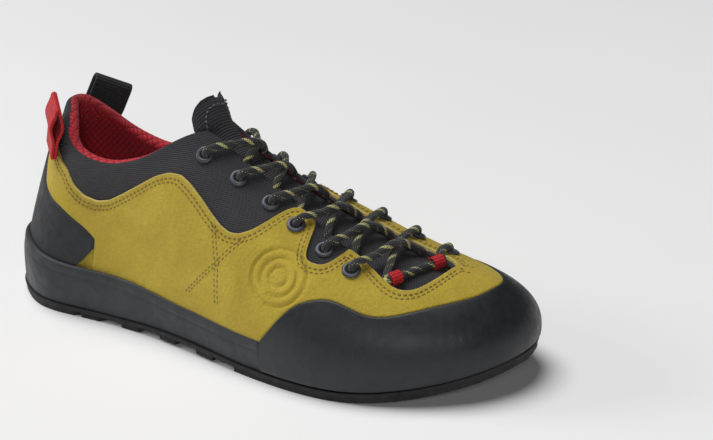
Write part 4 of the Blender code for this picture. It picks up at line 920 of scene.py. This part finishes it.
def make_rand():
    """The rubber rand over the toe, with a rounded top edge and faint waves."""
    skin = Skin()
    for side in (OUTER, INNER):
        start = RAND_START[side]
        toe = LAST.toe_round(side)
        rounds = np.concatenate([start + np.arange(0.0, 24.0, 0.5), np.arange(start + 24.0, toe, 1.0), [toe]])
        angles = LAST.angle_of_round(side, rounds)
        angles[-1] = math.pi
        top = rand_top(side, rounds)
        steps = np.concatenate([np.linspace(0.0, 0.97, 30), np.linspace(0.98, 1.0, 3)])
        up = RAND_FOOT + (top[:, None] - RAND_FOOT) * steps
        near = (top[:, None] - up) / MM
        out = RAND * (0.93 + 0.07 * np.cos(steps * 3.0)) - 0.35 * MM * np.exp(-near / 0.35)
        out = out - 0.5 * MM * np.exp(-(up - RAND_FOOT) / (0.6 * MM))
        wave = np.sin(rounds[:, None] * 1.1 + 2.0 * np.sin(rounds[:, None] * 0.17))
        ripple = 0.03 * MM * wave * np.sin(math.pi * steps)
        front = LAST.place(angles, up, out + ripple)
        uv = surface_uv(side, rounds, up)
        skin.sheet(front, uv)
        turned_edge(skin, side, rounds, angles, top, up, out, front)
        back = LAST.place(angles, up, EDGE_FOOT)
        skin.sheet(np.stack([front[0], back[0]]), np.stack([uv[0], uv[0]]))
        skin.sheet(np.stack([front[:, 0], back[:, 0]]), np.stack([uv[:, 0], uv[:, 0]]))
    piece = skin.build("rand_skin", [LOOKS["rand"]], 60.0)
    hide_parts("toe_rand")
    return piece


def make_counter():
    """The heel counter, with a rounded top edge."""
    skin = Skin()
    place, low, tall = table(COUNTER)
    for side in (OUTER, INNER):
        rounds = np.append(np.arange(0.0, COUNTER_NOSE - 0.8, 0.75), COUNTER_NOSE)
        angles = LAST.angle_of_round(side, rounds)
        angles[0] = 0.0 if side == OUTER else 2.0 * math.pi
        base = rounded_line(place, low, 1.2)(rounds) * MM
        top = rounded_line(place, tall, 1.6)(rounds) * MM
        steps = np.linspace(0.0, 1.0, 40)
        up = base[:, None] + (top - base)[:, None] * steps
        near = np.minimum((top[:, None] - up) / MM, (COUNTER_NOSE - rounds[:, None]))
        out = (COUNTER_OUT + 0.5 * MM) - 0.5 * MM * np.exp(-near / 0.5)
        front = LAST.place(angles, up, out)
        uv = surface_uv(side, rounds, up)
        skin.sheet(front, uv)
        turned_edge(skin, side, rounds, angles, top, up, out, front)
        back = LAST.place(angles, up, EDGE_FOOT)
        skin.sheet(np.stack([front[-1], back[-1]]), np.stack([uv[-1], uv[-1]]))
    piece = skin.build("counter_skin", [LOOKS["counter"]], 60.0)
    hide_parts("heel_counter")
    return piece


def make_midsole():
    """The cup's side with its proud lip; behind the rand only its foot shows."""
    skin = Skin()
    lip_place, lip_up, lip_out = table(LIP)
    for side in (OUTER, INNER):
        start = RAND_START[side]
        rounds, angles = place_values(side)
        shares = LAST.share_of(angles)
        covered = smooth_step((rounds - (start - 0.5)) / 2.0)
        floor = LAST.up_at_level(angles, floor_height)
        scaled = np.minimum(rounds * lip_place[-1] / start, lip_place[-1])
        up = spline(lip_place, lip_up)(scaled) * MM * (1.0 - covered) + np.minimum(floor, 9 * MM) * covered
        out = spline(lip_place, lip_out)(scaled) * MM
        foot_out = 0.9 * MM * smooth_step(shares / 0.12)
        steps = np.linspace(0.0, 1.0, 26)
        rise = steps * (up[:, None] - LIP_ROUND)
        swell = 0.66 * foot_out[:, None] * (1.0 - steps)
        swell = swell + out[:, None] * smooth_step(steps * 0.9 + 0.1) ** 0.8
        turns = np.linspace(0.0, math.pi, 12)[1:]
        lip_face = out[:, None] - (out[:, None] - LIP_BEHIND) * 0.5 * (1.0 - np.cos(turns))
        over = up[:, None] - LIP_ROUND * (1.0 - np.sin(turns))
        down = up[:, None] - LIP_FALL * (turns / math.pi * 2 - 1)
        lip_rise = np.where(turns > 0.5 * math.pi, down, over)
        deep_rise, deep_out = up[:, None] - 3.5 * MM, np.full((len(up), 1), 0.6 * MM)
        ups = np.concatenate([rise, lip_rise, deep_rise], axis=1)
        groove = 0.35 * MM * np.exp(-(((rise - (up[:, None] - 5.2 * MM)) / (0.7 * MM)) ** 2))
        outs = np.concatenate([swell - groove, lip_face, deep_out], axis=1)
        outs = outs * (1.0 - covered[:, None]) - BEHIND_RAND * covered[:, None]
        wall = LAST.place(angles, ups, outs)
        wall[:, 0, 2] = ground(wall[:, 0, 0] - SHIFT[0]) + OUTSOLE + GAP
        skin.sheet(wall, surface_uv(side, rounds, ups))
        centre_x, centre_y, _ = LAST.ridge(shares)
        centre = np.stack([centre_x, centre_y], axis=1) + SHIFT[:2]
        rim = wall[:, 0]
        plate = []
        for part in (0.0, 0.5, 1.0):
            flat = rim[:, :2] * (1.0 - part) + centre * part
            plate.append(np.column_stack([flat, ground(flat[:, 0] - SHIFT[0]) + OUTSOLE + GAP]))
        skin.sheet(np.stack(plate, axis=1), flip=True)
    piece = skin.build("midsole_skin", [LOOKS["midsole"]], 60.0)
    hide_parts("midsole")
    return piece


def make_outsole():
    """The lugged rubber sole, with the same blocks as the solid and a rounder edge."""
    skin = Skin()
    length = LAST.toe_round(OUTER)
    marks = [0.0]
    while marks[-1] < length - TREAD_PERIOD:
        begin = marks[-1]
        marks += [begin + step for step in TREAD_STEPS]
    marks[-1] = length
    share_marks = LAST.share_of(LAST.angle_of_round(OUTER, marks))
    share_marks[0], share_marks[-1] = 0.0, 1.0
    cells = len(marks) - 1
    parts = 6
    fine = np.interp(np.arange(cells * parts + 1) / parts, np.arange(cells + 1), marks)
    shares = LAST.share_of(LAST.angle_of_round(OUTER, fine))
    shares[0], shares[-1] = 0.0, 1.0

    def is_block(i, k):
        cell = i // parts
        if not (0 <= cell < cells and 0 <= k < len(TREAD_RINGS) - 1):
            return None
        if k % 2:
            return False
        if k > 0:
            return cell % 2 == 0
        in_waist = WAIST_FROM < 0.5 * (share_marks[cell] + share_marks[cell + 1]) < WAIST_TO
        return cell % 4 == 0 if in_waist else True

    for side in (OUTER, INNER):
        angles = LAST.angle_of_share(side, shares)
        foot = np.zeros((len(angles), 1))
        tuck = 1.2 * MM * smooth_step(1.0 - shares / 0.12)
        band = LAST.place(angles, foot, (1.3 * MM - tuck)[:, None])[:, 0]
        top_band = LAST.place(angles, foot, (2.0 * MM - tuck)[:, None])[:, 0]
        centre_x, centre_y, _ = LAST.ridge(shares)
        centre = np.stack([centre_x, centre_y], axis=1) + SHIFT[:2]
        flat = [band[:, :2] * (1.0 - part) + centre * part for part in TREAD_RINGS]
        low = np.stack([np.column_stack([f, underside(f[:, 0] - SHIFT[0])]) for f in flat], axis=1)
        roof = [np.column_stack([f, ground(f[:, 0] - SHIFT[0]) + TREAD_DEPTH]) for f in flat]
        high = np.stack(roof, axis=1)
        for i in range(cells * parts):
            for k in range(len(TREAD_RINGS) - 1):
                block = is_block(i, k)
                skin.sheet((low if block else high)[i:i + 2, k:k + 2])
                if not block:
                    continue
                for step_i, step_k, ends in (
                    (1, 0, ((i + 1, k), (i + 1, k + 1))),
                    (-1, 0, ((i, k), (i, k + 1))),
                    (0, 1, ((i, k + 1), (i + 1, k + 1))),
                    (0, -1, ((i, k), (i + 1, k))),
                ):
                    beside = is_block(i + step_i, k + step_k)
                    if beside or (beside is None and step_k >= 0):
                        continue
                    skin.sheet(np.array([[low[end] for end in ends], [high[end] for end in ends]]))
        top = ground(top_band[:, 0] - SHIFT[0]) + OUTSOLE
        ledge = []
        for part, out in ((0.0, 0.0), (0.35, 0.75), (0.6, 1.0), (0.85, 1.0), (1.0, 0.72)):
            plan = band[:, :2] + (top_band[:, :2] - band[:, :2]) * out
            ledge.append(np.column_stack([plan, high[:, 0, 2] * (1.0 - part) + top * part]))
        skin.sheet(np.stack(ledge, axis=1))
        plate = []
        for part in (0.0, 0.5, 1.0):
            spread = ledge[-1][:, :2] * (1.0 - part) + centre * part
            plate.append(np.column_stack([spread, ground(spread[:, 0] - SHIFT[0]) + OUTSOLE]))
        skin.sheet(np.stack(plate, axis=1))
    piece = skin.build("outsole_skin", [LOOKS["outsole"]], 28.0)
    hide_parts("outsole")
    return piece


def tongue_row(share, signed, depth):
    """Points and normals across the tongue at one share. Distances across are in mm, below zero outwards."""
    places, _, _, lift = table(TONGUE[::-1])
    signed, depth = np.asarray(signed, float), np.broadcast_to(np.asarray(depth, float), np.shape(signed))
    lifted = float(rounded_line(places * 100, lift, 0.5)(share * 100))
    flap = float(smooth_step((share - 0.372) / 0.024))
    points, normals = np.empty((len(signed), 3)), np.empty((len(signed), 3))
    for side in (OUTER, INNER):
        which = signed < 0 if side == OUTER else signed >= 0
        wide = np.abs(signed[which]) * MM
        under_flap = np.maximum(0.0, 1.0 - (wide / TONGUE_LIFT_REACH[side]) ** 2)
        in_the_open = 1.0 - TONGUE_CURL * (wide / TONGUE_CURL_REACH) ** 2
        rise = lifted * MM * (under_flap * flap + in_the_open * (1.0 - flap))
        angle = np.atleast_1d(LAST.angle_of_share(side, share))
        up = (LAST.top(angle)[0] - wide)[None]
        out = (rise - TONGUE_DROP - depth[which])[None]
        base = LAST.place(angle, up, 0.0)[0]
        at_ridge = np.repeat(LAST.top(angle)[None], 2, axis=1)
        ridge = LAST.place(angle, at_ridge, [[0.0, 1.0]])[0]
        far = LAST.place(angle, at_ridge - NORMAL_REACH, [[0.0, 1.0]])[0]
        lean = np.minimum(wide / NORMAL_REACH, 1.0)[:, None]
        normal = (ridge[1] - ridge[0]) * (1.0 - lean) + (far[1] - far[0]) * lean
        normal /= np.linalg.norm(normal, axis=1, keepdims=True)
        points[which], normals[which] = base + out.T * normal, normal
    return points, normals


def make_tongue():
    """The padded tongue: crowned across, thin at its edges, rounded over its top."""
    places, outer, inner, _ = table(TONGUE[::-1])
    shares = np.concatenate([np.linspace(places[0], 0.42, 34), np.linspace(0.43, 1.0, 50)])
    wide_outer, wide_inner = np.interp(shares, places, outer), np.interp(shares, places, inner)
    across = np.sin(np.linspace(-0.5 * math.pi, 0.5 * math.pi, 45))
    front, back, uv = [], [], []
    for i, share in enumerate(shares):
        signed = np.where(across < 0, wide_outer[i], wide_inner[i]) * across
        thick = TONGUE_EDGE + (TONGUE_THICK - TONGUE_EDGE) * (1.0 - across**4)
        end = min(1.0, math.sqrt(max(0.0, (share - places[0]) / 0.028)), 0.35 + 9.0 * (1.0 - share))
        swell = TONGUE_SWELL * (1.0 - across**2) * end
        soft = 0.5 * thick * (1.0 - end)
        front.append(tongue_row(share, signed, soft - swell)[0])
        back.append(tongue_row(share, signed, thick - soft)[0])
        length = share * (LENGTH - RIDGE_BACK - RIDGE_FRONT) * 100.0
        uv.append(np.stack([signed / 10.0, np.full_like(signed, length)], axis=-1))
    front, back, uv = np.array(front), np.array(back), np.array(uv)
    skin = Skin()
    skin.sheet(front, uv)
    skin.sheet(back, uv, flip=True, look=1)
    for pick in ((slice(None), 0), (slice(None), -1), (0, slice(None)), (-1, slice(None))):
        skin.sheet(np.stack([front[pick], back[pick]]), np.stack([uv[pick], uv[pick]]))
    piece = skin.build("tongue_skin", [LOOKS["textile"], LOOKS["lining"]], 60.0)
    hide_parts("tongue")
    return piece


def make_eyelets():
    """Rounded rings, one in each hole, as one joined mesh."""
    skin = Skin()
    middle, half = 0.5 * (EYELET_RING + EYELET_HOLE), 0.5 * (EYELET_RING - EYELET_HOLE)
    for centre, (along, across, out), stand in eyelet_frames():
        profile = [(EYELET_HOLE, -2.6 * MM), (EYELET_HOLE, stand)]
        for turn in np.linspace(0.3, 2.9, 10):
            profile.append((middle - half * math.cos(turn), stand + EYELET_RISE * math.sin(turn) ** 0.8))
        under = stand - 0.35 * MM
        profile += [(EYELET_RING, stand), (EYELET_RING - 0.3 * MM, under), (EYELET_BARREL, under)]
        rings = []
        for turn in np.linspace(0.0, 2.0 * math.pi, 33):
            outward = math.cos(turn) * along + math.sin(turn) * across
            rings.append([centre + radius * outward + rise * out for radius, rise in profile])
        skin.sheet(np.array(rings))
    piece = skin.build("eyelets_skin", [LOOKS["eyelet"]], 50.0)
    names = [f"eyelet_lateral_{i + 1}" for i in range(6)] + [f"eyelet_medial_{i + 1}" for i in range(7)]
    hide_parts(*names)
    return piece


def soft_path(points, step=0.6 * MM, radius=2.2):
    """Even points along a line through the given ones, with its corners rounded."""
    points = np.array(points)
    length = np.concatenate([[0.0], np.cumsum(np.linalg.norm(np.diff(points, axis=0), axis=1))])
    even = np.arange(0.0, length[-1], step)
    line = np.stack([np.interp(even, length, points[:, axis]) for axis in range(3)], axis=1)
    reach = int(3 * radius * MM / step)
    weights = np.exp(-0.5 * (np.arange(-reach, reach + 1) * step / (radius * MM)) ** 2)
    weights /= weights.sum()
    ahead, behind = line[1:reach + 1], line[-reach - 1:-1]
    padded = np.concatenate([2 * line[0] - ahead[::-1], line, 2 * line[-1] - behind[::-1]])
    return np.stack([np.convolve(padded[:, axis], weights, mode="valid") for axis in range(3)], axis=1)


def tube_sheet(skin, path, radius, sides=12):
    """A round bar along a path, with length and share of the turn as its UV in centimetres."""
    ahead = np.gradient(path, axis=0)
    ahead /= np.linalg.norm(ahead, axis=1, keepdims=True)
    over = np.zeros_like(path)
    over[0] = np.cross(ahead[0], np.cross((0.3, 0.2, 1.0), ahead[0]))
    over[0] /= np.linalg.norm(over[0])
    for i in range(1, len(path)):
        over[i] = over[i - 1] - ahead[i] * np.dot(over[i - 1], ahead[i])
        over[i] /= np.linalg.norm(over[i])
    beside = np.cross(ahead, over)
    turn = np.linspace(0.0, 2.0 * math.pi, sides + 1)
    cos, sin = np.cos(turn)[None, :, None], np.sin(turn)[None, :, None]
    grid = path[:, None] + radius * (cos * beside[:, None] + sin * over[:, None])
    length = np.concatenate([[0.0], np.cumsum(np.linalg.norm(np.diff(path, axis=0), axis=1))]) * 100.0
    uv = np.stack(np.broadcast_arrays(length[:, None], turn[None] / (2.0 * math.pi)), axis=-1)
    skin.sheet(grid, uv)


def throat_down(side, share):
    places, outer, inner = table(THROAT)
    return float(np.interp(share, places, outer if side == OUTER else inner)) * MM


def surface_point(share, across, out):
    """A point by share, signed distance from the ridge in metres, and how far it stands out."""
    return LAST.spot(OUTER if across < 0 else INNER, share, abs(across), out)[0]


def lace_points(begin, end, hump):
    """One run of lace: up out of its eyelet, over its flap and the tongue, and under the other flap."""
    (side, share, down, suede), (far_side, far_share, far_down, _) = begin, end
    sign = -1.0 if side == OUTER else 1.0
    start, stop = sign * down * MM, -sign * far_down * MM
    ring = 1.6 * MM + LACE + (SUEDE_OUT if suede else 0.0)
    edge, far_edge = sign * throat_down(side, share), -sign * throat_down(far_side, far_share)
    span = stop - start

    def share_at(across):
        return share + (far_share - share) * (across - start) / span

    points = [surface_point(share, start, -6.0 * MM), surface_point(share, start, ring - 1.4 * MM)]
    points.append(surface_point(share, start - sign * 1.2 * MM, ring + 0.4 * MM))
    for part, out in ((0.45, ring - 0.3 * MM), (0.8, 0.5 * ring + 1.2 * MM)):
        across = start + (edge - start) * part - sign * 1.5 * MM
        points.append(surface_point(share_at(across), across, out))
    for part in (0.15, 0.35, 0.5, 0.65, 0.85):
        across = edge + (far_edge - edge) * part
        out = (2.6 - 2.9 * part) * MM + hump * math.sin(math.pi * part) ** 2
        points.append(surface_point(share_at(across), across, out))
    for past, out in ((1.5, -1.6), (4.0, -4.2)):
        across = far_edge - sign * past * MM
        points.append(surface_point(share_at(across), across, out * MM))
    points.append(surface_point(far_share, stop, -5.0 * MM))
    return points


def tab_frame():
    """Feet of the two tabs, the way across both and the way up."""
    spots = {side: LAST.spot(side, share, down * MM, TAB_BASE) for side, (share, down) in TABS.items()}
    across = spots[INNER][0] - spots[OUTER][0]
    across /= np.linalg.norm(across)
    rise = spots[OUTER][1] + spots[INNER][1]
    rise -= across * np.dot(rise, across)
    return spots, across, rise / np.linalg.norm(rise)


def make_laces():
    """The lace in its eyelets, with the bar through the tabs, as one joined mesh."""
    skin = Skin()
    for k in range(5):
        outer, inner = (OUTER, *EYELETS[OUTER][k]), (INNER, *EYELETS[INNER][k])
        next_outer, next_inner = (OUTER, *EYELETS[OUTER][k + 1]), (INNER, *EYELETS[INNER][k + 1])
        tube_sheet(skin, soft_path(lace_points(inner, next_outer, 0.8 * MM)), LACE)
        tube_sheet(skin, soft_path(lace_points(outer, next_inner, 3.9 * MM)), LACE)
    last_outer, last_inner = (OUTER, *EYELETS[OUTER][5]), (INNER, *EYELETS[INNER][6])
    tube_sheet(skin, soft_path(lace_points(last_outer, last_inner, 4.2 * MM)), LACE)
    spots, across, rise = tab_frame()
    eye = TAB_HEIGHT - TAB_THICK - 0.5 * TAB_GAP
    begin, end = spots[OUTER][0] + rise * eye, spots[INNER][0] + rise * eye
    first = lace_points((INNER, *EYELETS[INNER][5]), (OUTER, 0.852, 24.0, False), 0.8 * MM)[:7]
    share, down, _ = EYELETS[INNER][6]
    path = first + [begin - across * 6.0 * MM + rise * 0.6 * MM, begin - across * 3.0 * MM, begin]
    path += [0.5 * (begin + end), end, end + across * 4.0 * MM + rise * 0.4 * MM]
    to_eyelet = [(0.012, 7.0, 2.2), (0.006, down - 6.0, 4.4), (0.0, down - 1.0, 4.6), (0.0, down, -5.0)]
    path += [surface_point(share + ahead, off * MM, out * MM) for ahead, off, out in to_eyelet]
    tube_sheet(skin, soft_path(path, radius=1.6), LACE)
    piece = skin.build("laces_skin", [LOOKS["lace"]], 60.0)
    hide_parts(*[f"lace_cross_{k + 1}" for k in range(6)], "lace_bar")
    return piece


def strap(name, base, up_dir, width_dir, size, joined, look, pinched=False):
    """Webbing folded over on itself, its two legs sewn together at the foot."""
    height, width, gap, thick = size
    width_dir = width_dir / np.linalg.norm(width_dir)
    up_dir = up_dir - width_dir * np.dot(width_dir, up_dir)
    up_dir /= np.linalg.norm(up_dir)
    depth_dir = np.cross(width_dir, up_dir)
    foot, open_half = joined * height, 0.5 * gap + 0.5 * thick
    bend = 0.62 * thick if pinched else open_half
    top = height - bend - 0.5 * thick
    spread = foot + 0.32 * (height - foot)
    leg = [(0.5 * thick, 0.0), (0.55 * thick, foot), (open_half, spread), (bend, top)]
    if pinched:
        share = np.linspace(0.0, 1.0, 25)
        swell = np.sin(math.pi * np.clip((share - 0.30) / 0.70, 0.0, 1.0)) ** 2
        leg = [(0.55 * thick + (open_half - 0.55 * thick) * w, top * s) for s, w in zip(share, swell)]
    arc = [(bend * math.cos(t), top + bend * math.sin(t)) for t in np.linspace(0.0, math.pi, 13)]
    line = np.array(leg[:-1] + arc + [(-x, z) for x, z in leg[-2::-1]])
    path = soft_path(np.column_stack([line, np.zeros(len(line))]), 0.5 * MM, 0.8)
    length = np.concatenate([[0.0], np.cumsum(np.linalg.norm(np.diff(path, axis=0), axis=1))])
    ahead = np.gradient(path[:, :2], axis=0)
    ahead /= np.linalg.norm(ahead, axis=1, keepdims=True)
    normal = np.stack([ahead[:, 1], -ahead[:, 0]], axis=1)
    half_w, half_t = 0.5 * width, 0.5 * thick
    corner = 0.35 * MM
    section = [(x, half_t) for x in np.linspace(-half_w + corner, half_w - corner, 22)]
    section += [(half_w, half_t - corner), (half_w, corner - half_t)]
    section += [(x, -half_t) for x in np.linspace(half_w - corner, -half_w + corner, 22)]
    section += [(-half_w, corner - half_t), (-half_w, half_t - corner), section[0]]
    section = np.array(section)
    flat = path[:, None, :2] + normal[:, None] * section[None, :, 1:2]
    grid = base + flat[..., :1] * depth_dir + flat[..., 1:2] * up_dir + section[None, :, :1] * width_dir
    uv = np.stack(np.broadcast_arrays(section[None, :, 0] * 100.0, length[:, None] * 100.0), axis=-1)
    skin = Skin()
    skin.sheet(grid, uv)
    return skin.build(name, [look], 50.0)


def make_straps():
    """The two tabs at the throat's front and the two pull loops at the heel."""
    spots, across, rise = tab_frame()
    for side, name in ((OUTER, "lateral"), (INNER, "medial")):
        size = (TAB_HEIGHT, TAB_WIDTH, TAB_GAP, TAB_THICK)
        tab = strap(f"tab_{name}", spots[side][0], rise, across, size, 0.12, LOOKS["red_webbing"])
        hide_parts(f"lace_tab_{name}")
        place, foot, height, lean, fall = LOOPS[side]
        angle = LAST.angle_of_round(side, np.array([place - 7.0, place, place + 7.0]))
        low = LAST.place(angle, np.full((3, 1), foot * MM), LOOP_BASE)[1, 0]
        high = LAST.place(angle, np.full((3, 1), (foot + 20) * MM), LOOP_BASE + lean * MM)[1, 0]
        edge = LAST.place(angle, (foot + fall * np.array([[7.0], [0.0], [-7.0]])) * MM, LOOP_BASE)[:, 0]
        slot = "red_webbing" if side == OUTER else "black_webbing"
        size = (height * MM, LOOP_WIDTH, LOOP_GAP, LOOP_THICK)
        wide = edge[2] - edge[0]
        loop = strap(f"loop_{name}", low, high - low, wide, size, 0.3, LOOKS[slot], side == OUTER)
        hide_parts(f"pull_loop_{name}")


def stitches(skin, line, normals, pitch=2.6, long=1.75, thick=0.28):
    """Sewn stitches, as small rounded bars along a line on the surface."""
    line, normals = np.asarray(line), np.asarray(normals)
    length = np.concatenate([[0.0], np.cumsum(np.linalg.norm(np.diff(line, axis=0), axis=1))]) / MM
    count = int(length[-1] / pitch)
    end = [(0.5, -0.5, 0.5), (0.42, -0.05, 0.9), (0.2, 0.25, 1.0)]
    shape = [(-along, rise, girth) for along, rise, girth in end] + end[::-1]
    for i in range(count):
        at = (i + 0.5) * pitch
        centre = np.array([np.interp(at, length, line[:, axis]) for axis in range(3)])
        ahead = np.array([np.interp(at + 0.4, length, line[:, axis]) for axis in range(3)]) - centre
        normal = np.array([np.interp(at, length, normals[:, axis]) for axis in range(3)])
        size = np.linalg.norm(ahead)
        if size < 1e-9:
            continue
        ahead, across, out = frame_at(normal, ahead)
        rings = []
        for along, rise, girth in shape:
            ring = []
            for turn in np.linspace(0.0, 2.0 * math.pi, 6):
                offset = math.cos(turn) * across * thick * 1.25 + math.sin(turn) * out * thick
                ring.append(centre + (ahead * along * long + out * rise * thick + offset * girth) * MM)
            rings.append(ring)
        skin.sheet(np.array(rings))


def sewn_line(side, rounds, ups, out):
    """Points on the outside along a line, with the outward directions there."""
    angles = LAST.angle_of_round(side, rounds)
    ups = np.asarray(ups)[:, None]
    low = LAST.place(angles, ups, out)[:, 0]
    high = LAST.place(angles, ups, np.asarray(out) + 1.0)[:, 0]
    return low, high - low


def make_stitches():
    """Rows of stitches inside the overlay's border, down the quarter and round the tongue's top."""
    suede, dark = Skin(), Skin()
    for side in (OUTER, INNER):
        rounds, _, ups = suede_border(side)
        run, climb = np.gradient(rounds), np.gradient(ups / MM)
        size = np.hypot(run, climb)
        for inset in STITCH_INSETS:
            at = rounds + climb / size * inset
            height = ups - run / size * inset * MM
            ahead = np.concatenate([[True], np.diff(at) > 0.05])
            top = np.interp(at, rounds, ups)
            place, _, tall = table(COUNTER)
            counter = np.interp(at, place, tall, right=-10.0) * MM + 1.2 * MM
            start = RAND_START[side]
            rand = np.where(at > start, rand_top(side, np.maximum(at, start)), -1.0) + 1.0 * MM
            good = ahead & (top - height > (inset - 0.6) * MM * 0.9) & (height > counter) & (height > rand)
            found = np.nonzero(good & (at < rounds[-1] - STITCHES_STOP))[0]
            groups = np.split(found, np.nonzero(np.diff(found) > 1)[0] + 1)
            for group in groups:
                if len(group) < 4:
                    continue
                out = suede_out(side, at[group], height[group]) - 0.12 * MM
                line, normals = sewn_line(side, at[group], height[group], out[:, None])
                stitches(suede, line, normals)
    for points in QUARTER_SEAMS:
        corners = np.array(points)
        part = np.linspace(0.0, 1.0, 40)
        place = np.interp(part, (0.0, 0.5, 1.0), corners[:, 0])
        up = np.interp(part, (0.0, 0.5, 1.0), corners[:, 1])
        for aside in (0.0, 2.0):
            out = suede_out(OUTER, place + aside, up * MM) - 0.10 * MM
            line, normals = sewn_line(OUTER, place + aside, up * MM, out[:, None])
            stitches(suede, line, normals)
    top = TONGUE[-1][0]
    arc = []
    for turn in np.linspace(-1.0, 1.0, 60):
        share = top + 0.020 + 0.055 * abs(turn) ** 3.2
        arc.append([found[0] for found in tongue_row(share, [15.0 * turn], -0.75 * MM)])
    stitches(dark, [a[0] for a in arc], [a[1] for a in arc], pitch=2.4)
    joined = (
        (suede, "suede_stitches", "suede_thread_with_hole_shade", "suede"),
        (dark, "tongue_stitches", "dark_thread", "textile"),
    )
    for skin, name, look, slot in joined:
        piece = skin.build(name, [LOOKS[look]], 60.0)


def make_camera():
    """The camera at the photograph's angle, moved as the shoe was."""
    azimuth, elevation = CAMERA_AZIMUTH, CAMERA_ELEVATION
    flat_back = np.array([math.sin(azimuth), -math.cos(azimuth), 0.0])
    back = math.cos(elevation) * flat_back + np.array([0.0, 0.0, math.sin(elevation)])
    right = np.array([math.cos(azimuth), math.sin(azimuth), 0.0])
    above = np.cross(back, right)
    turned = math.cos(CAMERA_ROLL) * right + math.sin(CAMERA_ROLL) * above
    above = -math.sin(CAMERA_ROLL) * right + math.cos(CAMERA_ROLL) * above
    data = bpy.data.cameras.new("camera")
    data.sensor_width = SENSOR_MM
    data.lens = CAMERA_FOCAL_PIXELS / PHOTO_WIDTH * SENSOR_MM
    data.clip_start, data.clip_end = 0.05, 50.0
    camera = bpy.data.objects.new("camera", data)
    bpy.context.scene.collection.objects.link(camera)
    place = CAMERA_TARGET + SHIFT + back * CAMERA_DISTANCE
    matrix = np.eye(4)
    matrix[:3, 0], matrix[:3, 1], matrix[:3, 2], matrix[:3, 3] = turned, above, back, place
    camera.matrix_world = Matrix(matrix.tolist())
    bpy.context.scene.camera = camera


def area_light(name, place, aim, size, power):
    data = bpy.data.lights.new(name, "AREA")
    data.shape = "RECTANGLE"
    data.size, data.size_y = size
    data.energy = power
    light = bpy.data.objects.new(name, data)
    light.location = place
    light.rotation_euler = (Vector(aim) - Vector(place)).to_track_quat("-Z", "Y").to_euler()
    bpy.context.scene.collection.objects.link(light)


def make_studio():
    """A pale floor, an even white sky, a soft sun from above and two soft lamps."""
    data = bpy.data.meshes.new("floor")
    corners = [(-FLOOR, -FLOOR, 0), (FLOOR, -FLOOR, 0), (FLOOR, FLOOR, 0), (-FLOOR, FLOOR, 0)]
    data.from_pydata(corners, [], [(0, 1, 2, 3)])
    floor = bpy.data.objects.new("floor", data)
    bpy.context.scene.collection.objects.link(floor)
    look = Look("pale_floor", (0.86, 0.86, 0.86), 0.9)
    look.colour(look.ramp(look.noise(3.0, 2.0), [(0.3, (0.93, 0.93, 0.93)), (0.7, (0.95, 0.95, 0.95))]))
    data.materials.append(look.item)
    world = bpy.data.worlds.new("studio")
    world.use_nodes = True
    world.node_tree.nodes["Background"].inputs[0].default_value = (1.0, 1.0, 1.0, 1.0)
    world.node_tree.nodes["Background"].inputs[1].default_value = 0.58
    data = bpy.data.lights.new("soft_sun", "SUN")
    data.energy, data.angle = 2.3, math.radians(38.0)
    sun = bpy.data.objects.new("soft_sun", data)
    sun.rotation_euler = Vector((0.30, 0.02, -1.0)).to_track_quat("-Z", "Y").to_euler()
    bpy.context.scene.collection.objects.link(sun)
    area_light("front", (0.9, -1.3, 0.8), (0.0, 0.0, 0.03), (0.5, 0.4), 6.0)
    area_light("heel_side", (-1.2, -0.5, 0.7), (0.0, 0.0, 0.04), (0.4, 0.4), 5.0)
    bpy.context.scene.view_settings.view_transform = "Standard"


for item in list(bpy.data.objects):
    if item.type in ("CAMERA", "LIGHT"):
        bpy.data.objects.remove(item)
make_camera()
make_studio()
make_outsole()
make_midsole()
make_upper()
make_suede()
make_rand()
make_counter()
make_tongue()
make_eyelets()
make_laces()
make_straps()
make_stitches()
footbed = frame["nodes"]["insole"]
for slot in footbed.material_slots:
    slot.material = insole_look()
